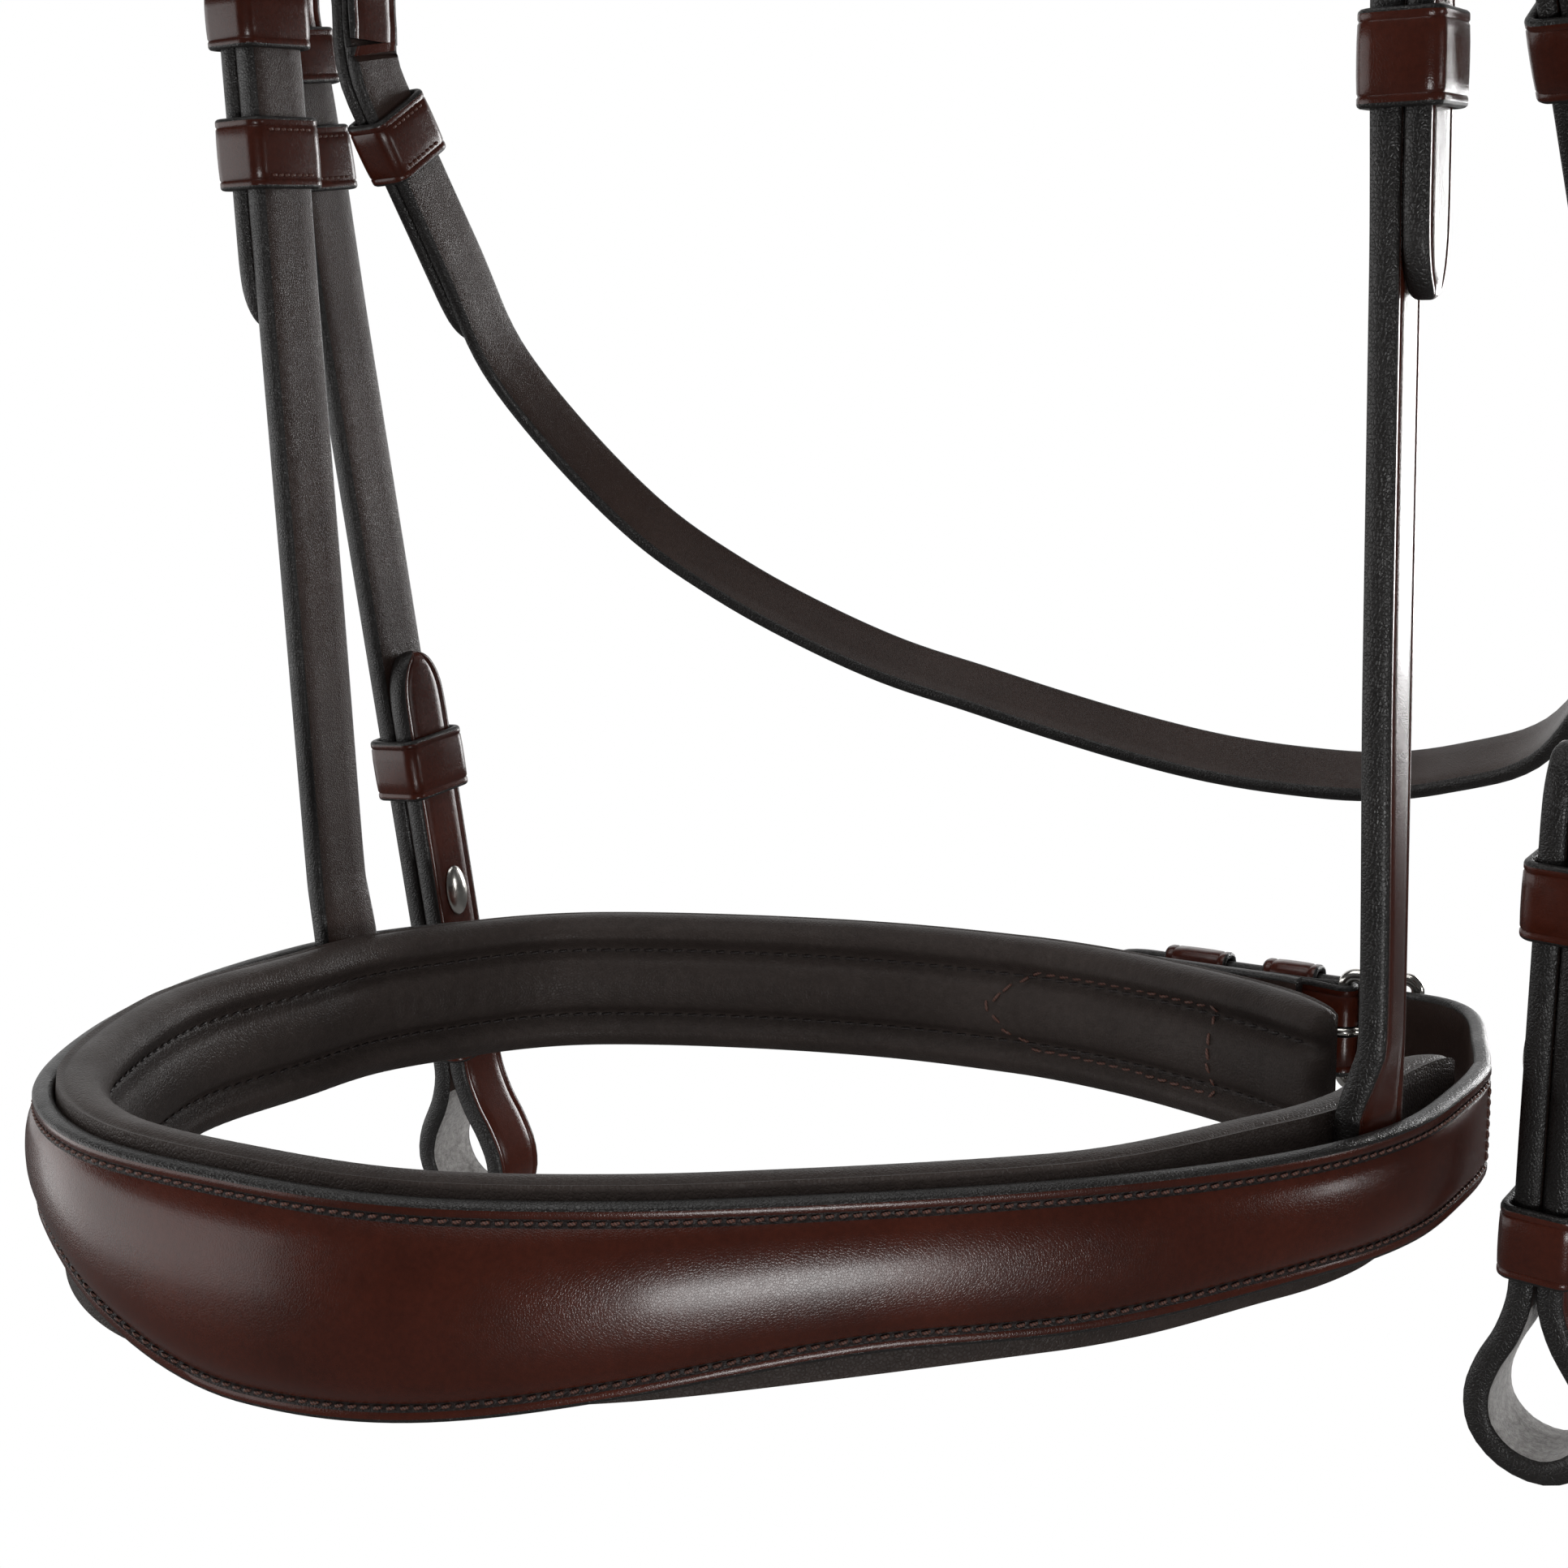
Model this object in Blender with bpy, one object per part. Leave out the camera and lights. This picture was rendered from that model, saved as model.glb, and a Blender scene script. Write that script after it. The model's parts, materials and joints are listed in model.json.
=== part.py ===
"""An English horse bridle without bit or reins, as separate leather and metal pieces.

Frame: +Z up, +X the horse's near (left) side, -Y towards the nose.
The origin is where the headpiece rests on the poll, under the middle of its pad.
Most places are worked out in the noseband's own frame, whose height 0 is the noseband's
top edge and whose middle lies between the two hangers; the "bridle" empty carries it.
"""

import math

import bmesh
import bpy
from mathutils import Matrix, Vector

# Clearances between leather, metal and thread
GAP = 0.0003
SLIDE_GAP = 0.00035
OVERRUN = 0.004

# Leather straps: widths and thicknesses
CHEEK_WIDTH = 0.0135
CHEEK_THICK = 0.0043
HANGER_WIDTH = 0.0135
HANGER_THICK = 0.0042
THROAT_WIDTH = 0.0130
THROAT_THICK = 0.0030
BILLET_THICK = 0.0036
THROAT_BILLET_THICK = 0.0028
EDGE_ROUND = 0.0009
TIP_LENGTH = 0.0110

# Heights over the noseband's top edge, and the poll's place
POLL_RISE = 0.345
POLL_BACK = 0.028
BROW_RISE = 0.2305
BROW_HEIGHT = 0.022
HANGER_PIVOT_RISE = 0.212
CHEEK_PIVOT_RISE = 0.210
THROAT_PIVOT_RISE = 0.212
BILLET_TIP_RISE = 0.118
RUNNER_RISE = 0.1500
CHEEK_RUNNER_RISE = 0.1530
THROAT_RUNNER_RISE = 0.157

# Places of the hanging straps: sideways and front to back, at the pivot and at the noseband
HANGER_PIVOT_OUT = 0.1090
HANGER_PIVOT_BACK = -0.0120
HANGER_FOOT_OUT = 0.1078
HANGER_FOOT_BACK = 0.0025
HANGER_BEND_RISE = 0.0100
CHEEK_PIVOT_OUT = 0.1367
CHEEK_PIVOT_BACK = 0.0187
CHEEK_FOOT_OUT = 0.1239
CHEEK_FOOT_BACK = 0.0460
THROAT_PIVOT_OUT = 0.1170
THROAT_PIVOT_BACK = 0.0252
THROAT_NEAR_FOOT_OUT = 0.1179
THROAT_OFF_FOOT_OUT = 0.1155
THROAT_FOOT_RISE = 0.172
THROAT_BEND_DROP = 0.0380
THROAT_BEND_LENGTH = 0.0090
THROAT_HANG_RISE = 0.114
THROAT_HANG_OUT = 0.1132
THROAT_HANG_BACK = 0.0510
THROAT_HANG_DROP = 0.0815
THROAT_TILT = math.radians(32.0)

# Buckles: round bar, its frame, and where it sits under its pivot
BAR_RADIUS = 0.0012
BUCKLE_LENGTH = 0.0130
BUCKLE_SIDE_GAP = 0.0005
BUCKLE_CORNER = 0.0022
TONGUE_RADIUS = 0.0008
TONGUE_GAP = 0.00025
CHEEK_BAR_DROP = 0.0090
HANGER_BAR_DROP = 0.0095
THROAT_BAR_DROP = 0.0095
FOLD_SHARE = 0.43
FOLD_LEG = 0.0150
KEEPER_DROP = 0.0155
SLOT_LENGTH = 0.0095

# Keepers: the small loops that hold two straps together
KEEPER_THICK = 0.0016
REAR_KEEPER_THICK = 0.0012
KEEPER_HEIGHT = 0.0110
RUNNER_HEIGHT = 0.0130
KEEPER_CORNER = 0.0011

# Bit end of the cheekpiece: the strap turns up inside and hooks on a stud
BIT_LOOP_NECK_RISE = -0.0375
BIT_LOOP_DROP = 0.0340
BIT_LOOP_HALF_WIDTH = 0.0100
CHEEK_TIP_RISE = 0.0520
CHEEK_LAYER_GAP = 0.0004
STUD_RISE = 0.0000
STUD_SHANK_RADIUS = 0.0014
STUD_HEAD_LENGTH = 0.0110
STUD_HEAD_WIDTH = 0.0060
STUD_HEAD_THICK = 0.0014
STUD_RUNNER_RISE = 0.0280
STUD_KEEPER_RISE = -0.0300
STUD_KEEPER_HEIGHT = 0.0130

# Noseband: its plan, the domed leather and the padded lining
NOSE_HALF_WIDTH = 0.110
NOSE_REACH = 0.110
NOSE_STATION = 0.0100
LEATHER_RIM_THICK = 0.0032
LEATHER_TOP = -0.0018
LEATHER_DEPTH = 0.0192
NOSE_EXTRA_DEPTH = 0.0143
NOSE_SHIFT = 0.020
LEATHER_TAPERS = (0.052, 0.100)
LINING_TAPERS = (0.128, 0.128)
LEATHER_RIM = 0.0027
DOME_SIDE = 0.0014
DOME_NOSE = 0.0034
DOME_FADE = 0.030
LINING_THICK = 0.0092
LINING_DEPTH = 0.0275
LINING_EXTRA_DEPTH = 0.0058
LINING_CURL = 0.0185
LINING_CURL_LENGTH = 0.075
LINING_END_ROUND = 0.012
POCKET_FADE = 0.012
HANGER_SUNK = 0.0165
LEATHER_FAR_START = 0.0190
LEATHER_FLAT_LENGTH = 0.0700

# Noseband's rear strap, chape, buckle and keepers
REAR_WIDTH = 0.0175
REAR_THICK = 0.0028
CHAPE_THICK = 0.0028
REAR_BAR_OUT = 0.0685
REAR_BAR_BACK = 0.0861
REAR_TIP_OUT = 0.0140
CHAPE_END_OUT = 0.0060
REAR_KEEPER_OUT = 0.0565
REAR_RUNNER_OUT = 0.0370
NEAR_LEATHER_END_BACK = 0.0440

# Headpiece, its pad, the noseband's head strap and the browband
CROWN_WIDTH = 0.042
CROWN_SPLIT_WIDTH = 0.0285
CROWN_THICK = 0.0040
TAIL_THICK = 0.0034
PAD_WIDTH = 0.050
PAD_THICK = 0.008
HEAD_STRAP_WIDTH = 0.0135
HEAD_STRAP_THICK = 0.0036
ARCH_HALF_WIDTH = 0.118
ARCH_DROP = 0.077
ARCH_FORWARD = 0.0125
BROW_THICK = 0.0034
BROW_REACH = 0.130
BROW_ROOM = 0.0009
BROW_SLACK = 0.0055

# Places round the noseband's plan, as shares of its half width and reach, from the rear
# strap's side of the buckle round the off side, the nose and the near side
NOSE_ROUTE_SHARES = (
    (0.727, 0.718), (0.600, 0.732), (0.436, 0.736), (0.255, 0.736), (0.045, 0.722),
    (-0.200, 0.682), (-0.455, 0.591), (-0.695, 0.460), (-0.885, 0.290), (-0.985, 0.075),
    (-0.993, -0.130), (-0.945, -0.382), (-0.823, -0.655), (-0.645, -0.885),
    (-0.409, -1.005), (-0.127, -1.005), (0.109, -0.955), (0.327, -0.827), (0.518, -0.664),
    (0.700, -0.482), (0.848, -0.300), (0.950, -0.118), (0.996, 0.055), (0.995, 0.236),
    (0.975, 0.400), (0.917, 0.558),
)

# Cross-section of the lining, inward and upward shares: flat back, three rolls, two channels
LINING_SHARES = (
    (0.0, 0.09), (0.0, 0.91), (0.14, 0.98), (0.42, 1.0), (0.74, 0.965), (0.90, 0.86),
    (0.66, 0.745), (0.90, 0.655), (1.0, 0.50), (0.90, 0.345), (0.66, 0.255), (0.90, 0.14),
    (0.74, 0.035), (0.42, 0.0), (0.14, 0.02),
)

# Dome of the noseband leather: place across it and share of its full height
DOME_SHARES = ((0.0, 0.0), (0.10, 0.50), (0.28, 0.88), (0.50, 1.0), (0.72, 0.88),
               (0.90, 0.50), (1.0, 0.0))

# Bit loop seen from the front: outward shares of its half width, downward shares of its drop
BIT_LOOP_SHARES = (
    (0.03, 0.12), (0.28, 0.31), (0.70, 0.50), (0.90, 0.69), (0.68, 0.89), (0.10, 1.0),
    (-0.55, 0.97), (-1.00, 0.84), (-1.10, 0.67), (-0.95, 0.49), (-0.66, 0.30), (-0.50, 0.12),
)

# Half of the crown's arch over the poll: outward, downward and forward shares
ARCH_SHARES = (
    (0.0, 0.0, 0.0), (0.25, 0.03, 0.03), (0.48, 0.14, 0.10), (0.71, 0.355, 0.28),
    (0.895, 0.655, 0.62), (1.0, 1.0, 1.0),
)

# Throatlash: outward shares of its hang's top, and shares of its backward and downward hang
THROAT_SHARES = (
    (1.055, 0.220), (1.040, 0.460), (0.968, 0.700), (0.862, 0.874), (0.718, 0.951),
    (0.571, 0.995), (0.423, 1.0), (0.272, 0.986), (0.121, 0.951), (-0.034, 0.902),
    (-0.191, 0.845), (-0.352, 0.786), (-0.509, 0.698), (-0.662, 0.585), (-0.805, 0.437),
    (-0.924, 0.223),
)

# Tip of a strap's end: share of its length, back from the point, and share of its width
TIP_SHARES = ((0.0, 0.20), (0.10, 0.44), (0.28, 0.68), (0.58, 0.88), (1.0, 1.0))

# Colours
HAVANA = (0.085, 0.028, 0.018, 1.0)
BLACK_LEATHER = (0.016, 0.014, 0.013, 1.0)
NICKEL = (0.74, 0.72, 0.68, 1.0)

SIDES = (("near", 1.0), ("off", -1.0))


def clear_scene():
    for old in list(bpy.data.objects):
        bpy.data.objects.remove(old, do_unlink=True)


def make_material(name, colour, roughness, metallic):
    material = bpy.data.materials.new(name)
    material.use_nodes = True
    shader = material.node_tree.nodes["Principled BSDF"]
    shader.inputs["Base Color"].default_value = colour
    shader.inputs["Roughness"].default_value = roughness
    shader.inputs["Metallic"].default_value = metallic
    return material


def make_empty(name, parent, place):
    empty = bpy.data.objects.new(name, None)
    empty.empty_display_size = BROW_HEIGHT
    bpy.context.collection.objects.link(empty)
    empty.parent = parent
    empty.location = place
    return empty


def add_object(name, mesh, material, parent, matrix=None):
    piece = bpy.data.objects.new(name, mesh)
    bpy.context.collection.objects.link(piece)
    piece.parent = parent
    if matrix is not None:
        piece.matrix_local = matrix
    mesh.materials.clear()
    mesh.materials.append(material)
    mesh.shade_smooth()
    mesh.set_sharp_from_angle(angle=math.radians(50.0))
    return piece


def loft(name, rings, closed=False):
    """One closed skin through rings of equally many points, capped unless it closes."""
    bm = bmesh.new()
    rows = [[bm.verts.new(point) for point in ring] for ring in rings]
    count = len(rows[0])
    last = len(rows) if closed else len(rows) - 1
    for index in range(last):
        here, there = rows[index], rows[(index + 1) % len(rows)]
        for k in range(count):
            after = (k + 1) % count
            bm.faces.new((here[k], here[after], there[after], there[k]))
    if not closed:
        bm.faces.new(rows[0])
        bm.faces.new(rows[-1])
    bmesh.ops.recalc_face_normals(bm, faces=bm.faces)
    mesh = bpy.data.meshes.new(name)
    bm.to_mesh(mesh)
    bm.free()
    return mesh


def cut(mesh, cutters):
    """The mesh with closed cutter meshes taken out of it."""
    return combine(mesh, cutters, 'DIFFERENCE')


def combine(mesh, others, operation):
    body = bpy.data.objects.new("body", mesh)
    bpy.context.collection.objects.link(body)
    helpers = []
    for other in others:
        helper = bpy.data.objects.new("helper", other)
        bpy.context.collection.objects.link(helper)
        modifier = body.modifiers.new("boolean", 'BOOLEAN')
        modifier.operation = operation
        modifier.solver = 'EXACT'
        modifier.object = helper
        helpers.append(helper)
    evaluated = body.evaluated_get(bpy.context.evaluated_depsgraph_get())
    result = bpy.data.meshes.new_from_object(evaluated)
    for spare in [body] + helpers:
        bpy.data.objects.remove(spare, do_unlink=True)
    return result


def box_mesh(name, centre, along, across, up, sizes):
    """A box round centre, its edges along three directions."""
    half = [size / 2 for size in sizes]
    rings = []
    for end in (-1, 1):
        rings.append([centre + along * (end * half[0]) + across * (a * half[1]) + up * (b * half[2])
                      for a, b in ((-1, -1), (1, -1), (1, 1), (-1, 1))])
    return loft(name, rings)


def smooth_points(points, step, closed=False):
    """Points about step apart on a Catmull-Rom curve through the given ones."""
    points = [Vector(point) for point in points]
    count = len(points)
    result = []
    for index in range(count if closed else count - 1):
        if closed:
            a, b, c, d = (points[(index + k) % count] for k in (-1, 0, 1, 2))
        else:
            b, c = points[index], points[index + 1]
            a = points[index - 1] if index else b * 2 - c
            d = points[index + 2] if index + 2 < count else c * 2 - b
        parts = max(1, round((c - b).length / step))
        for part in range(parts):
            t = part / parts
            result.append(((b * 2) + (c - a) * t + (a * 2 - b * 5 + c * 4 - d) * t ** 2
                           + (b * 3 - a - c * 3 + d) * t ** 3) / 2)
    if not closed:
        result.append(points[-1])
    return result


def tangents(points, closed=False):
    count = len(points)
    result = []
    for index in range(count):
        before = points[index - 1] if index or closed else points[0]
        after = points[(index + 1) % count] if index + 1 < count or closed else points[-1]
        result.append((after - before).normalized())
    return result


def strap_ring(point, normal, across, width, thick):
    """Cross-section of a strap with bevelled edges."""
    edge = min(EDGE_ROUND, thick * 0.3, width * 0.3)
    out, side = thick / 2, width / 2
    corners = ((out, side - edge), (out - edge, side), (edge - out, side), (-out, side - edge),
               (-out, edge - side), (edge - out, -side), (out - edge, -side), (out, edge - side))
    return [point + normal * x + across * y for x, y in corners]


def strap_mesh(name, points, hints, widths, thicks):
    """A strap swept along points, its width along the hints."""
    rings = []
    for index, along in enumerate(tangents(points)):
        hint = hints[index] if isinstance(hints, list) else hints
        across = (hint - along * along.dot(hint)).normalized()
        normal = across.cross(along)
        rings.append(strap_ring(points[index], normal, across, widths[index], thicks[index]))
    return loft(name, rings)


def wire_mesh(name, points, radius, sides, hint, closed=False, tip_share=1.0):
    """A round wire along points that lie in a plane square to hint."""
    rings = []
    count = len(points)
    for index, along in enumerate(tangents(points, closed)):
        side = along.cross(hint).normalized()
        other = side.cross(along)
        size = radius * (tip_share if not closed and index == count - 1 else 1.0)
        rings.append([points[index] + (side * math.cos(turn) + other * math.sin(turn)) * size
                      for turn in (2 * math.pi * k / sides for k in range(sides))])
    return loft(name, rings, closed)


def rounded_rectangle(half_a, half_b, corner, parts):
    """Corner arcs of a rectangle in its own plane, as pairs."""
    places = []
    for quarter, (a, b) in enumerate(((1, 1), (-1, 1), (-1, -1), (1, -1))):
        for part in range(parts + 1):
            turn = math.pi / 2 * (quarter + part / parts)
            places.append((a * (half_a - corner) + corner * math.cos(turn),
                           b * (half_b - corner) + corner * math.sin(turn)))
    return places


class Hang:
    """Frame of one hanging strap: its pivot, and the way down to its foot."""

    def __init__(self, side, pivot, foot, width, thick, billet_thick, bar_drop):
        self.side = side
        self.pivot = Vector((pivot[0] * side, pivot[1], pivot[2]))
        foot_point = Vector((foot[0] * side, foot[1], foot[2]))
        up = (self.pivot - foot_point).normalized()
        across = (Vector((0, 1, 0)) - up * up.y).normalized()
        self.set_axes(across.cross(up), across, up)
        self.width, self.thick, self.billet_thick = width, thick, billet_thick
        self.bar_b = bar_drop
        self.bar_a = bar_drop + BUCKLE_LENGTH
        self.bend = None

    def set_axes(self, out, across, up):
        self.turn = Matrix((out, across, up)).transposed().to_4x4()

    def lean(self, drop):
        """How far the strap has turned edgewise, at a distance down it."""
        if self.bend is None:
            return 0.0
        start, length, turn = self.bend
        return turn * min(max((drop - start) / length, 0.0), 1.0)

    def place(self, out, drop, across=0.0):
        """A point of the strap's own frame: outward, down and across."""
        angle = self.lean(drop)
        back, down = 0.0, drop
        if angle:
            start, length, turn = self.bend
            radius = length / turn
            rest = max(drop - start - length, 0.0)
            back = radius * (1 - math.cos(angle)) + rest * math.sin(angle)
            down = start + radius * math.sin(angle) + rest * math.cos(angle)
        return Vector((out * self.side, back + across * math.cos(angle),
                       across * math.sin(angle) - down))

    def hint(self, drop):
        """The strap's width direction at a distance down it."""
        angle = self.lean(drop)
        return Vector((0, math.cos(angle), math.sin(angle)))

    def steps(self, first, last, shares):
        """Distances between two, with some on the bend where there is one."""
        drops = [first + (last - first) * share for share in shares]
        if self.bend is not None:
            start, length, _ = self.bend
            drops = [drop for drop in drops if drop < start or drop > start + length]
            drops += [start + length * share for share in (0.0, 0.33, 0.67, 1.0)]
        return sorted(drops)

    def drop(self, rise):
        """Distance down the strap to a height over the noseband's edge."""
        low, high = 0.0, POLL_RISE
        while high - low > GAP / 1000:
            middle = (low + high) / 2
            if self.world(self.place(0.0, middle)).z > rise:
                low = middle
            else:
                high = middle
        return high

    def lay(self):
        """How far out a billet's middle lies on the strap."""
        return self.thick / 2 + GAP + self.billet_thick / 2

    def bar_b_out(self):
        return self.billet_thick / 2 + GAP * 2 + BAR_RADIUS

    def fold_thick(self):
        return self.thick * FOLD_SHARE

    def fold_radius(self):
        return BAR_RADIUS + GAP + self.fold_thick() / 2

    def over(self):
        """How far out a billet's middle lies where it crosses the folded bar."""
        return self.fold_radius() + self.fold_thick() / 2 + GAP * 2 + self.billet_thick / 2

    def world(self, point):
        return self.pivot + self.turn.to_3x3() @ point


def fold_places(hang):
    """The strap's end round the buckle's bar: outward, downward and thickness."""
    fold, radius, base = hang.fold_thick(), hang.fold_radius(), hang.bar_a
    main = hang.thick - fold - GAP
    inner, outer = -(hang.thick - fold) / 2, (hang.thick - main) / 2
    neck, waist = radius * 1.4, radius * 2.8
    places = [(inner, base + FOLD_LEG, fold * 0.65), (inner, base + FOLD_LEG * 0.8, fold),
              (inner, base + waist, fold), ((inner - radius) / 2, base + neck, fold)]
    for part in range(7):
        turn = math.pi * part / 6
        places.append((-radius * math.cos(turn), base - radius * math.sin(turn), fold))
    places += [((outer + radius) / 2, base + neck, (fold + main) / 2), (outer, base + waist, main),
               (outer, base + FOLD_LEG, main), (0.0, base + FOLD_LEG * 1.25, hang.thick)]
    return places


def tongue_slot(hang, name):
    """Room for the buckle's tongue in the folded end."""
    height = (hang.fold_radius() + hang.fold_thick()) * 2
    wide = (TONGUE_RADIUS + TONGUE_GAP) * 2
    centre = hang.place(0.0, hang.bar_a - height * 0.2)
    return box_mesh(name, centre, Vector((1, 0, 0)), Vector((0, 1, 0)), Vector((0, 0, 1)),
                    (height * 1.4, wide, height))


def crossing_places(hang):
    """Middle line of a billet from behind the upper bar to over the lower one."""
    top = hang.bar_b + BAR_RADIUS
    fall = hang.bar_a - BAR_RADIUS - top
    return [(hang.over() * share, top + fall * share) for share in (0.0, 0.33, 0.67, 1.0)]


def billet_places(hang, tip_drop, top):
    """Middle line of a billet: behind the upper bar, over the lower one and down."""
    line = [(0.0, top), (0.0, hang.bar_b)] + crossing_places(hang)
    low = hang.bar_a + hang.fold_radius() * 3
    line += [(hang.over(), hang.bar_a + BAR_RADIUS * 0.5),
             ((hang.over() + hang.lay()) / 2, (hang.bar_a + low) / 2)]
    drops = hang.steps(low, tip_drop - TIP_LENGTH, (0.0, 0.35, 0.7))
    return line + [(hang.lay(), drop) for drop in drops]


def tongue_line(hang):
    """Outward and downward places of the tongue, measured from the lower bar."""
    wrap = BAR_RADIUS + TONGUE_GAP + TONGUE_RADIUS
    slant = hang.bar_b_out() / BUCKLE_LENGTH
    rest = hang.bar_b_out() + (BAR_RADIUS + TONGUE_RADIUS + GAP) * (1 + slant ** 2)
    turns = [math.radians(turn) for turn in (245.0, 280.0, 315.0, 350.0)]
    line = [(wrap * math.sin(turn), -wrap * math.cos(turn)) for turn in turns]
    start = line[-1]
    end = (rest, -BUCKLE_LENGTH)
    line += [(start[0] + (end[0] - start[0]) * share, start[1] + (end[1] - start[1]) * share)
             for share in (0.25, 0.6, 1.0)]
    return line + [(rest + TONGUE_RADIUS * 0.3, end[1] - BAR_RADIUS * 1.4)]


def billet_slot(hang):
    """The hole in a billet that its tongue goes through."""
    line = crossing_places(hang)
    first, last = Vector(line[0]), Vector(line[-1])
    bar = Vector((0.0, hang.bar_a))
    tongue = [bar + Vector(place) for place in tongue_line(hang)[3:7:3]]
    way, other = last - first, tongue[1] - tongue[0]
    share = (tongue[0] - first).cross(other) / way.cross(other)
    centre = first + way * share
    way.normalize()
    return centre, way


def slot_mesh(hang, thick):
    centre, way = billet_slot(hang)
    along = Vector((way.x * hang.side, 0, -way.y))
    across = Vector((0, 1, 0))
    return box_mesh("slot", hang.place(centre.x, centre.y), along, across, along.cross(across),
                    (SLOT_LENGTH, (TONGUE_RADIUS + TONGUE_GAP) * 2, thick * 3))


def billet_mesh(hang, name, tip_drop, sideways):
    """A billet with a rounded head at its pivot, a tongue slot and a pointed tip."""
    places = [(out, drop, hang.width, hang.billet_thick)
              for out, drop in billet_places(hang, tip_drop, 0.0)]
    for share, wide in reversed(TIP_SHARES):
        places.append((hang.lay(), tip_drop - TIP_LENGTH * share, hang.width * wide,
                       hang.billet_thick))
    head = []
    reach = (hang.billet_thick if sideways else hang.width) / 2
    for share in (0.97, 0.75, 0.42):
        round_share = math.sqrt(1 - share ** 2)
        wide = hang.width if sideways else hang.width * round_share
        thick = hang.billet_thick * round_share if sideways else hang.billet_thick
        head.append((0.0, -reach * share, wide, thick))
    places = head + places
    points = [hang.place(out, drop) for out, drop, _, _ in places]
    hints = [hang.hint(drop) for _, drop, _, _ in places]
    mesh = strap_mesh(name, points, hints, [p[2] for p in places], [p[3] for p in places])
    return cut(mesh, [slot_mesh(hang, hang.billet_thick)])


def buckle_mesh(hang, name):
    """Rectangular frame of round bar through both bars' places."""
    low = hang.place(0.0, hang.bar_a)
    high = hang.place(hang.bar_b_out(), hang.bar_b)
    half_wide = hang.width / 2 + BUCKLE_SIDE_GAP + BAR_RADIUS
    rise = (high - low).normalized()
    half_long = (high - low).length / 2
    middle = (low + high) / 2
    across = Vector((0, 1, 0))
    points = [middle + rise * a + across * b
              for a, b in rounded_rectangle(half_long, half_wide, BUCKLE_CORNER, 3)]
    return wire_mesh(name, points, BAR_RADIUS, 8, rise.cross(across), closed=True)


def tongue_mesh(hang, name):
    """Tongue wrapped round the lower bar, its tip resting on the upper one.

    Its own origin is the lower bar's middle."""
    points = [Vector((out * hang.side, 0, -down)) for out, down in tongue_line(hang)]
    return wire_mesh(name, points, TONGUE_RADIUS, 6, Vector((0, 1, 0)), tip_share=0.6)


def keeper_mesh(hang, name, inner, outer, drop, height, wide, thick):
    """A flat loop round everything between two outward places."""
    half_out = (outer - inner + thick) / 2 + SLIDE_GAP
    half_wide = (wide + thick) / 2 + SLIDE_GAP
    middle = (inner + outer) / 2
    edge = thick * 0.22
    loop = rounded_rectangle(half_out, half_wide, KEEPER_CORNER + thick / 2, 3)
    rings = []
    for index, (a, b) in enumerate(loop):
        before, after = loop[index - 1], loop[(index + 1) % len(loop)]
        normal = Vector((after[1] - before[1], before[0] - after[0])).normalized()
        ring = []
        for out, up in ((-1, -1), (-1, 1), (1, 1), (1, -1)):
            shift = normal * (out * thick / 2)
            top = up * (height / 2 - (edge if out > 0 else 0.0))
            ring.append(hang.place(middle + a + shift.x, drop - top, b + shift.y))
        rings.append(ring)
    return loft(name, rings, closed=True)


def cheek_strap_mesh(hang, name):
    """Cheekpiece: folded on its buckle, down, round the bit's loop and up to its point."""
    places = [(out, drop, hang.width, thick) for out, drop, thick in fold_places(hang)]
    inner = -(hang.thick + CHEEK_LAYER_GAP)
    neck = hang.drop(BIT_LOOP_NECK_RISE)
    start = places[-1][1]
    for share in (0.25, 0.5, 0.75, 0.93):
        places.append((0.0, start + (neck - start) * share, hang.width, hang.thick))
    loop = [(BIT_LOOP_HALF_WIDTH * out, neck + BIT_LOOP_DROP * down) for out, down in BIT_LOOP_SHARES]
    loop = [(0.0, neck - BIT_LOOP_DROP * 0.1)] + loop + [(inner, neck - BIT_LOOP_DROP * 0.1)]
    for point in smooth_points([(out, drop, 0.0) for out, drop in loop], BIT_LOOP_HALF_WIDTH * 0.5):
        places.append((point.x, point.y, hang.width, hang.thick))
    tip = hang.drop(CHEEK_TIP_RISE)
    turn = places[-1][1]
    for share in (0.33, 0.67):
        places.append((inner, turn + (tip + TIP_LENGTH - turn) * share, hang.width, hang.thick))
    for share, wide in reversed(TIP_SHARES):
        places.append((inner, tip + TIP_LENGTH * share, hang.width * wide, hang.thick))
    points = [hang.place(out, drop) for out, drop, _, _ in places]
    mesh = strap_mesh(name, points, Vector((0, 1, 0)), [p[2] for p in places], [p[3] for p in places])
    hole = stud_cylinder(hang, STUD_SHANK_RADIUS + TONGUE_GAP, inner * 2, OVERRUN)
    return cut(mesh, [tongue_slot(hang, "slot"), hole])


def stud_cylinder(hang, radius, inner, outer):
    """A round bar square to the strap at the stud's height."""
    drop = hang.drop(STUD_RISE)
    rings = []
    for out in (inner, outer):
        rings.append([hang.place(out, drop + radius * math.cos(turn), radius * math.sin(turn))
                      for turn in (2 * math.pi * k / 12 for k in range(12))])
    return loft("bar", rings)


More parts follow.
